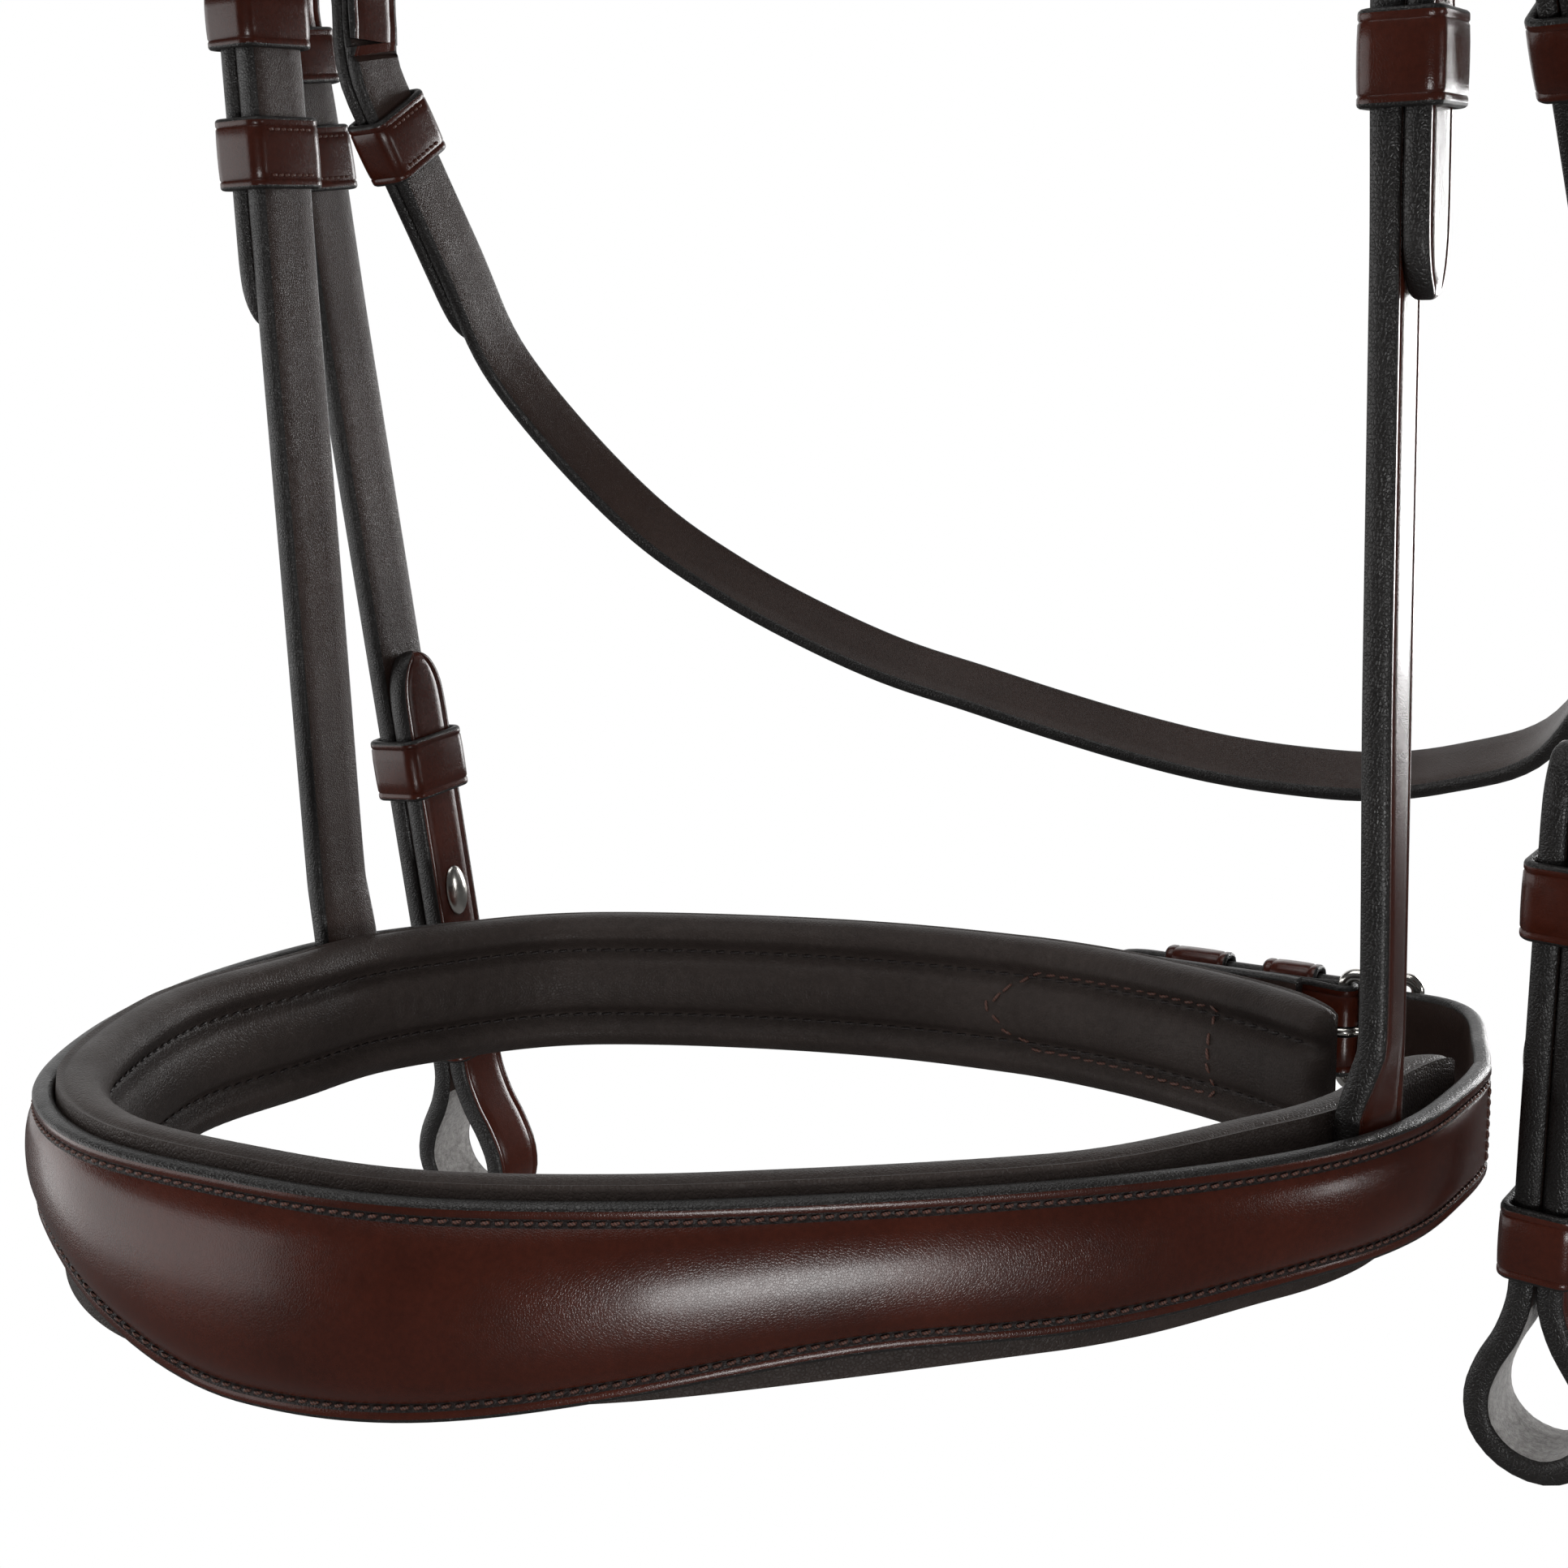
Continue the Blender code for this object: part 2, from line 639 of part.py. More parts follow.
def stud_mesh(hang, name):
    """Hook stud: a shank through both layers, riveted outside, with an oval head inside."""
    drop = hang.drop(STUD_RISE)
    inner = -(hang.thick * 1.5 + CHEEK_LAYER_GAP + GAP)
    outer = hang.thick / 2 + GAP
    rings = []
    profile = ((inner - STUD_HEAD_THICK, 0.55), (inner - STUD_HEAD_THICK * 0.75, 0.86),
               (inner - STUD_HEAD_THICK * 0.25, 1.0), (inner, 0.9))
    for out, share in profile:
        rings.append([(out, STUD_HEAD_LENGTH / 2 * share, STUD_HEAD_WIDTH / 2 * share)])
    shank = STUD_SHANK_RADIUS
    rivet = STUD_SHANK_RADIUS * 1.9
    rings += [[(inner, shank, shank)], [(outer, shank, shank)], [(outer, rivet, rivet)],
              [(outer + STUD_HEAD_THICK * 0.5, rivet * 0.7, rivet * 0.7)]]
    skins = []
    for (out, long, wide), in rings:
        skins.append([hang.place(out, drop + long * math.cos(turn), wide * math.sin(turn))
                      for turn in (2 * math.pi * k / 12 for k in range(12))])
    return loft(name, skins)


class NoseRoute:
    """The noseband's plan as a measured curve."""

    def __init__(self):
        shaped = [Vector((x * NOSE_HALF_WIDTH, y * NOSE_REACH, 0)) for x, y in NOSE_ROUTE_SHARES]
        self.points = smooth_points(shaped, NOSE_STATION / 8)
        self.lengths = [0.0]
        for a, b in zip(self.points, self.points[1:]):
            self.lengths.append(self.lengths[-1] + (b - a).length)
        self.total = self.lengths[-1]
        self.middle = self.nearest(lambda p: p.y)

    def nearest(self, score, low=0, high=None):
        """Distance along the curve where a score is least."""
        high = len(self.points) if high is None else high
        best = min(range(low, high), key=lambda index: score(self.points[index]))
        return self.lengths[best]

    def near_at(self, back):
        """Distance along the curve on the near side, at a place front to back."""
        nose = self.lengths.index(self.middle)
        return self.nearest(lambda p: abs(p.y - back), low=nose)

    def off_at(self, back):
        nose = self.lengths.index(self.middle)
        third = nose // 3
        return self.nearest(lambda p: abs(p.y - back), low=third, high=nose)

    def far_at(self, out):
        """Distance along the rear wall, at a place sideways."""
        nose = self.lengths.index(self.middle)
        return self.nearest(lambda p: abs(p.x - out), high=nose // 2)

    def at(self, length):
        """Point and outward normal at a distance along the curve."""
        index = 1
        low, high = 1, len(self.lengths) - 1
        while low < high:
            index = (low + high) // 2
            if self.lengths[index] < length:
                low = index + 1
            else:
                high = index
        index = low
        span = self.lengths[index] - self.lengths[index - 1]
        share = (length - self.lengths[index - 1]) / span
        point = self.points[index - 1].lerp(self.points[index], share)
        back = self.points[max(index - 8, 0)]
        ahead = self.points[min(index + 7, len(self.points) - 1)]
        along = (ahead - back).normalized()
        return point, Vector((along.y, -along.x, 0))


def stations(start, end, step):
    parts = max(2, round((end - start) / step))
    return [start + (end - start) * k / parts for k in range(parts + 1)]


def ease(share):
    share = min(max(share, 0.0), 1.0)
    return share * share * (3 - 2 * share)


def nose_swell(route, length, tapers):
    """1 at the nose's deepest place, a little to the near side, falling to 0 at the sides."""
    past = length - route.middle - NOSE_SHIFT
    away = min(abs(past) / tapers[1 if past > 0 else 0], 1.0)
    return (1 - away ** 2) ** 2


def leather_mesh(route, name):
    """Outer leather: flat rims with a dome between, deepest over the nose."""
    start, end = LEATHER_FAR_START, route.near_at(NEAR_LEATHER_END_BACK)
    rings = []
    for length in stations(start, end, NOSE_STATION):
        point, normal = route.at(length)
        swell = nose_swell(route, length, LEATHER_TAPERS)
        depth = LEATHER_DEPTH + NOSE_EXTRA_DEPTH * swell
        fade = ease(min(length - start - LEATHER_FLAT_LENGTH, end - length) / DOME_FADE)
        dome = (DOME_SIDE + (DOME_NOSE - DOME_SIDE) * swell) * fade
        top, bottom = LEATHER_TOP, LEATHER_TOP - depth
        inside, outside = GAP / 2, GAP / 2 + LEATHER_RIM_THICK
        edge = EDGE_ROUND
        section = [(inside, bottom + edge), (inside, top - edge), (inside + edge, top),
                   (outside - edge, top), (outside, top - edge)]
        for place, height in DOME_SHARES:
            section.append((outside + dome * height,
                            top - LEATHER_RIM - (depth - LEATHER_RIM * 2) * place))
        section += [(outside, bottom + edge), (outside - edge, bottom), (inside + edge, bottom)]
        rings.append([point + normal * out + Vector((0, 0, up)) for out, up in section])
    return loft(name, rings)


def pocket(route, length):
    """How far the lining gives way to let a hanger in behind it."""
    room = HANGER_THICK + GAP * 5
    give = 0.0
    for centre in (route.near_at(HANGER_FOOT_BACK), route.off_at(HANGER_FOOT_BACK)):
        away = abs(length - centre) - (HANGER_WIDTH / 2 + NOSE_STATION)
        give = max(give, room * (1 - ease(away / POCKET_FADE)))
    return give


def lining_mesh(route, name):
    """Padded lining: three soft rolls and two sewn channels, standing over the leather's edge."""
    start, end = 0.0, route.near_at(NEAR_LEATHER_END_BACK) - EDGE_ROUND
    rings = []
    places = stations(start, end, NOSE_STATION)
    for length in [start] + places[1:-1] + [end]:
        point, normal = route.at(length)
        from_end = min(length - start, end - length)
        close = 0.35 + 0.65 * math.sqrt(1 - (1 - min(from_end / LINING_END_ROUND, 1.0)) ** 2)
        curl = LINING_CURL * max(0.0, 1 - (length - start) / LINING_CURL_LENGTH) ** 1.7
        give = pocket(route, length) + curl + GAP / 2
        depth = LINING_DEPTH + LINING_EXTRA_DEPTH * nose_swell(route, length, LINING_TAPERS)
        middle = -depth / 2
        ring = []
        for inward, upward in LINING_SHARES:
            height = middle + depth * (upward - 0.5) * (0.8 + 0.2 * close)
            ring.append(point - normal * (give + LINING_THICK * inward * close)
                        + Vector((0, 0, height)))
        rings.append(ring)
    return loft(name, rings)


def hanger_mesh(hang, name, wall, normal):
    """Noseband hanger: folded on its buckle, down into the pocket behind the leather."""
    places = [(out, drop, thick) for out, drop, thick in fold_places(hang)]
    start, foot = places[-1][1], hang.drop(-HANGER_SUNK)
    turn = hang.turn.to_3x3().transposed()
    bend, edge = hang.drop(HANGER_BEND_RISE), hang.drop(0.0)
    inset = abs(wall.x) - GAP * 2.5 - HANGER_THICK / 2 - abs(hang.world(hang.place(0.0, edge)).x)
    along = turn @ Vector((0, 0, 1)).cross(normal)
    along = along if along.y > 0 else -along
    drops = [start + (bend - start) * share for share in (0.3, 0.65, 1.0)]
    drops += [bend + (edge - bend) * share for share in (0.5, 1.0)]
    drops += [edge + (foot - edge) * share for share in (0.5, 1.0)]
    places += [(inset * ease((drop - bend) / (edge - bend)), drop, hang.thick) for drop in drops]
    points = [hang.place(out, drop) for out, drop, _ in places]
    hints = [Vector((0, 1, 0)).lerp(along, ease((drop - bend) / (edge - bend)))
             for _, drop, _ in places]
    widths = [hang.width] * len(points)
    mesh = strap_mesh(name, points, hints, widths, [p[2] for p in places])
    return cut(mesh, [tongue_slot(hang, "slot")])


def throatlash_mesh(hangs, name):
    """Throatlash: both folded ends, both straight parts and the hanging curve between."""
    ends = []
    for hang in hangs:
        low = hang.drop(THROAT_HANG_RISE)
        places = fold_places(hang)
        drops = hang.steps(places[-1][1], low, (0.4, 0.7, 0.9, 1.0))
        places += [(0.0, drop, hang.thick) for drop in drops]
        turn = hang.turn.to_3x3()
        ends.append([(hang.world(hang.place(out, drop)), turn @ hang.hint(drop), thick)
                     for out, drop, thick in places])
    near, off = ends[0], ends[1][::-1]
    top = near[-1][0]
    flat = Vector((0, math.cos(THROAT_TILT), math.sin(THROAT_TILT)))
    middle = [near[-2][0], top]
    for out, hung in THROAT_SHARES:
        middle.append(Vector((THROAT_HANG_OUT * out, top.y + THROAT_HANG_BACK * hung,
                              top.z - THROAT_HANG_DROP * hung)))
    middle += [off[0][0], off[1][0]]
    curve = smooth_points(middle, NOSE_STATION * 1.2)
    stations = near[:-2] + [(point, flat, THROAT_THICK) for point in curve] + off[2:]
    mesh = strap_mesh(name, [s[0] for s in stations], [s[1] for s in stations],
                      [THROAT_WIDTH] * len(stations), [s[2] for s in stations])
    slots = []
    for hang in hangs:
        slot = tongue_slot(hang, "slot")
        slot.transform(Matrix.Translation(hang.pivot) @ hang.turn)
        slots.append(slot)
    return cut(mesh, slots)


def arch_points(shift_up):
    """Half arch over the poll, raised off the pad's underside."""
    half = []
    for out, down, forward in ARCH_SHARES:
        half.append(Vector((ARCH_HALF_WIDTH * out, POLL_BACK - ARCH_FORWARD * forward,
                            POLL_RISE - ARCH_DROP * down)))
    raised = []
    for point, way in zip(half, tangents(half)):
        flat = Vector((way.x, 0, way.z)).normalized()
        raised.append(point + Vector((-flat.z, 0, flat.x)) * shift_up)
    raised[0].x = 0.0
    return raised


def mirrored_route(half):
    """The whole arch from its near half, off end first."""
    return [Vector((-p.x, p.y, p.z)) for p in reversed(half[1:])] + half


def tail_points(start, hang, clear, bulge):
    """A strap from the arch's end down to just above its pivot, square to it."""
    end = hang.world(Vector((0, 0, clear)))
    above = hang.world(Vector((0, 0, clear + hang.width * 0.6)))
    middle = start.lerp(above, 0.55) + Vector((bulge * hang.side, 0, 0))
    return [start, middle, above, end]


def crown_mesh(name, cheeks, throats):
    """Headpiece: a wide band over the poll whose ends split into cheek and throat tails."""
    half = arch_points(PAD_THICK + GAP * 5 + HEAD_STRAP_THICK + CROWN_THICK / 2)
    points = smooth_points(mirrored_route(half), NOSE_STATION * 1.4)
    widths = []
    for point in points:
        share = ease(abs(point.x) / ARCH_HALF_WIDTH)
        widths.append(CROWN_WIDTH + (CROWN_SPLIT_WIDTH - CROWN_WIDTH) * share)
    hint = Vector((0, 1, 0))
    band = strap_mesh(name, points, hint, widths, [CROWN_THICK] * len(points))
    tails = []
    start = half[-1].lerp(half[-2], 0.12)
    for hang, back, clear in [(h, -1.0, h.billet_thick / 2 + GAP * 2) for h in cheeks] + [
            (h, 1.0, h.width / 2 + GAP * 2) for h in throats]:
        shift = back * (CROWN_SPLIT_WIDTH / 2 - hang.width / 2 - EDGE_ROUND)
        first = Vector((start.x * hang.side, start.y + shift, start.z))
        route = smooth_points(tail_points(first, hang, clear, CROWN_THICK * 0.5),
                              NOSE_STATION * 1.2)
        tails.append(strap_mesh("tail", route, hint, [hang.width] * len(route),
                                [TAIL_THICK] * len(route)))
    return combine(band, tails, 'UNION')


def head_strap_mesh(name, hangs):
    """The noseband's head strap, between the pad and the crown, down to the hangers' pivots."""
    half = arch_points(PAD_THICK + GAP * 2 + HEAD_STRAP_THICK / 2)
    last = half.pop() + Vector((-HEAD_STRAP_THICK * 0.6, -HEAD_STRAP_WIDTH * 0.35, 0))
    half += tail_points(last, hangs[0], HANGER_WIDTH / 2 + GAP * 2, 0.0)
    points = smooth_points(mirrored_route(half), NOSE_STATION * 1.3)
    return strap_mesh(name, points, Vector((0, 1, 0)), [HEAD_STRAP_WIDTH] * len(points),
                      [HEAD_STRAP_THICK] * len(points))


def pad_mesh(name):
    """Poll pad: a soft crowned cushion under the crown."""
    half = arch_points(PAD_THICK / 2)[:-1]
    points = smooth_points(mirrored_route(half), NOSE_STATION * 1.1)
    rings = []
    section = ((0.42, 0.5), (0.5, 0.3), (0.5, -0.1), (0.42, -0.4), (0.2, -0.5), (0.0, -0.43),
               (-0.2, -0.5), (-0.42, -0.4), (-0.5, -0.1), (-0.5, 0.3), (-0.42, 0.5))
    reach = half[-1].x
    for point, along in zip(points, tangents(points)):
        flat = Vector((along.x, 0, along.z)).normalized()
        normal = Vector((-flat.z, 0, flat.x))
        share = min(abs(point.x) / reach, 1.0)
        wide = PAD_WIDTH * (0.55 + 0.45 * math.sqrt(1 - share ** 6))
        rings.append([point + Vector((0, across * wide, 0)) + normal * (up * PAD_THICK)
                      for across, up in section])
    return loft(name, rings)


def browband_mesh(name):
    """Browband: a flat strap round the forehead, each end folded back into a loop."""
    outer = CHEEK_PIVOT_OUT + (TAIL_THICK + BROW_THICK) / 2 + BROW_ROOM
    inner = HANGER_PIVOT_OUT - (HEAD_STRAP_THICK + BROW_THICK) / 2 - BROW_SLACK
    front = HANGER_PIVOT_BACK - (HEAD_STRAP_WIDTH + BROW_THICK) / 2 - BROW_SLACK
    rear = THROAT_PIVOT_BACK + (THROAT_WIDTH + BROW_THICK) / 2 + GAP
    middle = (inner + outer) / 2
    corner = BROW_THICK * 1.9
    fold = BROW_THICK + GAP
    half = [(0.0, -BROW_REACH), (inner * 0.34, -BROW_REACH * 0.965),
            (inner * 0.68, -BROW_REACH * 0.83), (inner * 0.94, -BROW_REACH * 0.61),
            (middle * 0.975, -BROW_REACH * 0.40), (outer - corner * 0.5, front - corner * 0.5),
            (outer, front + corner), (outer, (front + rear) / 2), (outer, rear - corner),
            (outer - corner, rear), (inner + corner, rear), (inner, rear - corner),
            (inner, (front + rear) / 2), (inner, front + corner),
            (inner + corner * 0.4, front - corner * 0.35),
            (middle * 0.975 - fold, -BROW_REACH * 0.31 + fold)]
    near = [Vector((x, y, BROW_RISE)) for x, y in half]
    off = [Vector((-p.x, p.y, p.z)) for p in reversed(near[1:])]
    points = smooth_points(off + near, NOSE_STATION * 1.3)
    return strap_mesh(name, points, Vector((0, 0, 1)), [BROW_HEIGHT] * len(points),
                      [BROW_THICK] * len(points))


def hanging_straps():
    """Frames of the three pairs of hanging straps but for the hangers' exact feet."""
    cheeks, throats = [], []
    throat_feet = (THROAT_NEAR_FOOT_OUT, THROAT_OFF_FOOT_OUT)
    for (_, side), foot_out in zip(SIDES, throat_feet):
        pivot = (CHEEK_PIVOT_OUT, CHEEK_PIVOT_BACK, CHEEK_PIVOT_RISE)
        cheeks.append(Hang(side, pivot, (CHEEK_FOOT_OUT, CHEEK_FOOT_BACK, 0.0), CHEEK_WIDTH,
                           CHEEK_THICK, BILLET_THICK, CHEEK_BAR_DROP))
        pivot = (THROAT_PIVOT_OUT, THROAT_PIVOT_BACK, THROAT_PIVOT_RISE)
        throat = Hang(side, pivot, (foot_out, THROAT_PIVOT_BACK, THROAT_FOOT_RISE),
                      THROAT_WIDTH, THROAT_THICK, THROAT_BILLET_THICK, THROAT_BAR_DROP)
        throat.bend = (THROAT_BEND_DROP, THROAT_BEND_LENGTH, THROAT_TILT)
        throats.append(throat)
    return cheeks, throats


def build_hanging(hang, prefix, leather, metal, parent, tip_drop, sideways, runner_rise):
    """Billet, buckle, tongue and runner of one hanging strap."""
    add_object(prefix + "_billet", billet_mesh(hang, prefix, tip_drop, sideways), leather, parent,
               hang.turn)
    add_object(prefix + "_buckle", buckle_mesh(hang, prefix), metal, parent, hang.turn)
    tongue_place = hang.turn @ Matrix.Translation(hang.place(0.0, hang.bar_a))
    add_object(prefix + "_tongue", tongue_mesh(hang, prefix), metal, parent, tongue_place)
    build_loop(hang, prefix + "_runner", hang.drop(runner_rise), RUNNER_HEIGHT, leather, parent)


def build_loop(hang, name, drop, height, leather, parent):
    """A keeper or runner round a strap and the billet on it."""
    outer = hang.lay() + hang.billet_thick / 2
    loop = keeper_mesh(hang, name, -hang.thick / 2, outer, drop, height, hang.width, KEEPER_THICK)
    add_object(name, loop, leather, parent, hang.turn)


def build_cheek(side_name, hang, leather, metal, parent):
    prefix = side_name + "_cheek"
    hinge = make_empty(prefix + "_pivot", parent, hang.pivot)
    build_hanging(hang, prefix, leather, metal, hinge, hang.drop(BILLET_TIP_RISE), True,
                  CHEEK_RUNNER_RISE)
    build_loop(hang, prefix + "_keeper", hang.bar_a + KEEPER_DROP, KEEPER_HEIGHT, leather, hinge)
    add_object(prefix + "_strap", cheek_strap_mesh(hang, prefix), leather, hinge, hang.turn)
    add_object(side_name + "_hook_stud", stud_mesh(hang, prefix), metal, hinge, hang.turn)
    inner = -(hang.thick * 1.5 + CHEEK_LAYER_GAP)
    for name, rise, height in (("_stud_runner", STUD_RUNNER_RISE, RUNNER_HEIGHT),
                               ("_stud_keeper", STUD_KEEPER_RISE, STUD_KEEPER_HEIGHT)):
        loop = keeper_mesh(hang, name, inner, hang.thick / 2, hang.drop(rise), height, hang.width,
                           KEEPER_THICK)
        add_object(side_name + name, loop, leather, hinge, hang.turn)


def build_throat(hangs, leather, metal, parent):
    hinge = make_empty("throat_pivot", parent, (0.0, THROAT_PIVOT_BACK, THROAT_PIVOT_RISE))
    for (side_name, _), hang in zip(SIDES, hangs):
        frame = make_empty(side_name + "_throat_top", hinge, (hang.pivot.x, 0.0, 0.0))
        build_hanging(hang, side_name + "_throat", leather, metal, frame,
                      hang.drop(BILLET_TIP_RISE), False, THROAT_RUNNER_RISE)
    back = Matrix.Translation(Vector((0.0, -THROAT_PIVOT_BACK, -THROAT_PIVOT_RISE)))
    add_object("throatlash", throatlash_mesh(hangs, "throatlash"), leather, hinge, back)


def rear_hang():
    """Frame of the noseband's rear buckle: its strap runs level, its width upright."""
    hang = Hang(1.0, (0.0, 0.0, 1.0), (0.0, 0.0, 0.0), REAR_WIDTH, CHAPE_THICK, REAR_THICK,
                BAR_RADIUS * 2)
    hang.set_axes(Vector((0, 1, 0)), Vector((0, 0, 1)), Vector((1, 0, 0)))
    hang.pivot = Vector((REAR_BAR_OUT + hang.bar_a, REAR_BAR_BACK, strap_level()))
    return hang


def strap_level():
    """Middle height of the noseband's leather at the back."""
    return LEATHER_TOP - LEATHER_DEPTH / 2


def wall_points(route, first, last, out):
    """Points along the noseband's wall, at a distance outside it."""
    points = []
    for length in stations(first, last, NOSE_STATION):
        point, normal = route.at(length)
        points.append(point + normal * out + Vector((0, 0, strap_level())))
    return points


def chape_mesh(hang, route, name):
    """Chape of the rear buckle: folded on its bar and laid along the off end of the noseband."""
    places = fold_places(hang)
    lay = GAP / 2 + LEATHER_RIM_THICK + GAP + CHAPE_THICK / 2
    first = route.far_at(REAR_BAR_OUT - places[-1][1] + hang.bar_a - NOSE_STATION)
    line = wall_points(route, first, route.far_at(CHAPE_END_OUT), lay)
    points = [hang.world(hang.place(out, drop)) for out, drop, _ in places] + line
    thicks = [thick for _, _, thick in places] + [CHAPE_THICK] * len(line)
    widths = [REAR_WIDTH] * len(points)
    way = (points[-1] - points[-2]).normalized()
    for share, wide in reversed(TIP_SHARES[:-1]):
        points.append(line[-1] + way * TIP_LENGTH * (1 - share))
        thicks.append(CHAPE_THICK)
        widths.append(REAR_WIDTH * wide)
    mesh = strap_mesh(name, points, Vector((0, 0, 1)), widths, thicks)
    slot = tongue_slot(hang, "slot")
    slot.transform(Matrix.Translation(hang.pivot) @ hang.turn)
    return cut(mesh, [slot])


def rear_strap_mesh(hang, route, name):
    """Noseband's rear strap: from the near end, through the buckle and along the chape."""
    start = route.near_at(NEAR_LEATHER_END_BACK) + GAP
    inside = GAP / 2 + LEATHER_RIM_THICK / 2
    line = wall_points(route, start, route.total, inside)
    places = [(0.0, 0.0)] + crossing_places(hang)
    places += [(hang.over(), hang.bar_a + BAR_RADIUS * share) for share in (0.5, 4.0)]
    through = [hang.world(hang.place(out, drop)) for out, drop in places]
    bridge = smooth_points(line[-2:] + through[:2], NOSE_STATION * 0.6)[:-1]
    bridge = [point for point in bridge if (point - line[-2]).length > GAP]
    lay = REAR_BAR_BACK + hang.over()
    first = through[-1].x - NOSE_STATION
    rest = []
    for share in (0.0, 0.35, 0.7, 1.0):
        out = first + (REAR_TIP_OUT + TIP_LENGTH - first) * share
        rest.append(Vector((out, lay, strap_level())))
    points = line[:-1] + bridge + through[1:] + rest
    widths = [REAR_WIDTH] * len(points)
    for share, wide in reversed(TIP_SHARES[:-1]):
        points.append(Vector((REAR_TIP_OUT + TIP_LENGTH * share, lay, strap_level())))
        widths.append(REAR_WIDTH * wide)
    mesh = strap_mesh(name, points, Vector((0, 0, 1)), widths, [REAR_THICK] * len(points))
    slot = slot_mesh(hang, REAR_THICK)
    slot.transform(Matrix.Translation(hang.pivot) @ hang.turn)
    return cut(mesh, [slot])


def build_rear(route, leather, metal, parent):
    hang = rear_hang()
    frame = Matrix.Translation(hang.pivot) @ hang.turn
    add_object("noseband_rear_strap", rear_strap_mesh(hang, route, "rear"), leather, parent)
    add_object("noseband_chape", chape_mesh(hang, route, "chape"), leather, parent)
    add_object("noseband_buckle", buckle_mesh(hang, "rear"), metal, parent, frame)
    tongue = frame @ Matrix.Translation(hang.place(0.0, hang.bar_a))
    add_object("noseband_tongue", tongue_mesh(hang, "rear"), metal, parent, tongue)
    middle = hang.over()
    for name, out, height in (("noseband_keeper", REAR_KEEPER_OUT, KEEPER_HEIGHT),
                              ("noseband_runner", REAR_RUNNER_OUT, RUNNER_HEIGHT)):
        drop = hang.pivot.x - out
        loop = keeper_mesh(hang, name, middle - REAR_THICK / 2, middle + REAR_THICK / 2, drop,
                           height, REAR_WIDTH, REAR_KEEPER_THICK)
        add_object(name, loop, leather, parent, frame)


def build_noseband(leather, black, metal, parent):
    """Noseband, its lining, hangers and rear fastening, on one swinging frame."""
    route = NoseRoute()
    hinge = make_empty("noseband_pivot", parent, (0.0, HANGER_PIVOT_BACK, HANGER_PIVOT_RISE))
    home = make_empty("noseband_frame", hinge, (0.0, -HANGER_PIVOT_BACK, -HANGER_PIVOT_RISE))
    add_object("noseband_leather", leather_mesh(route, "leather"), leather, home)
    add_object("noseband_lining", lining_mesh(route, "lining"), black, home)
    walls = (route.at(route.near_at(HANGER_FOOT_BACK)), route.at(route.off_at(HANGER_FOOT_BACK)))
    pivot = (HANGER_PIVOT_OUT, HANGER_PIVOT_BACK, HANGER_PIVOT_RISE)
    hangs = []
    for (side_name, side), (wall, normal) in zip(SIDES, walls):
        hang = Hang(side, pivot, (HANGER_FOOT_OUT, HANGER_FOOT_BACK, 0.0), HANGER_WIDTH,
                    HANGER_THICK, BILLET_THICK, HANGER_BAR_DROP)
        hangs.append(hang)
        prefix = side_name + "_hanger"
        frame = make_empty(prefix + "_top", hinge, (hang.pivot.x, 0.0, 0.0))
        build_hanging(hang, prefix, leather, metal, frame, hang.drop(BILLET_TIP_RISE), False,
                      RUNNER_RISE)
        build_loop(hang, prefix + "_keeper", hang.bar_a + KEEPER_DROP, KEEPER_HEIGHT, leather,
                   frame)
        strap = hanger_mesh(hang, prefix, wall, normal)
        add_object(prefix + "_strap", strap, leather, frame, hang.turn)
    build_rear(route, leather, metal, home)
    return hangs


def main():
    clear_scene()
    leather = make_material("havana_leather", HAVANA, 0.32, 0.0)
    black = make_material("black_lining", BLACK_LEATHER, 0.55, 0.0)
    metal = make_material("nickel", NICKEL, 0.22, 1.0)
    bridle = make_empty("bridle", None, (0.0, -POLL_BACK, -POLL_RISE))
    cheeks, throats = hanging_straps()
    add_object("headpiece_crown", crown_mesh("crown", cheeks, throats), leather, bridle)
    add_object("crown_pad", pad_mesh("pad"), black, bridle)
    add_object("browband", browband_mesh("browband"), leather, bridle)
    for (side_name, _), hang in zip(SIDES, cheeks):
        build_cheek(side_name, hang, leather, metal, bridle)
    hangers = build_noseband(leather, black, metal, bridle)
    add_object("noseband_head_strap", head_strap_mesh("head_strap", hangers), leather, bridle)
    build_throat(throats, leather, metal, bridle)


main()
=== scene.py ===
"""Looks of the horse bridle: leather, padding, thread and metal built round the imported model.

The places repeat the model's own sizes, in metres. They are worked out in the noseband's
frame (height 0 is its top edge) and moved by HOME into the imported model's frame.
"""

import json
import math

import bmesh
import bpy
from mathutils import Matrix, Vector
from mathutils.geometry import interpolate_bezier


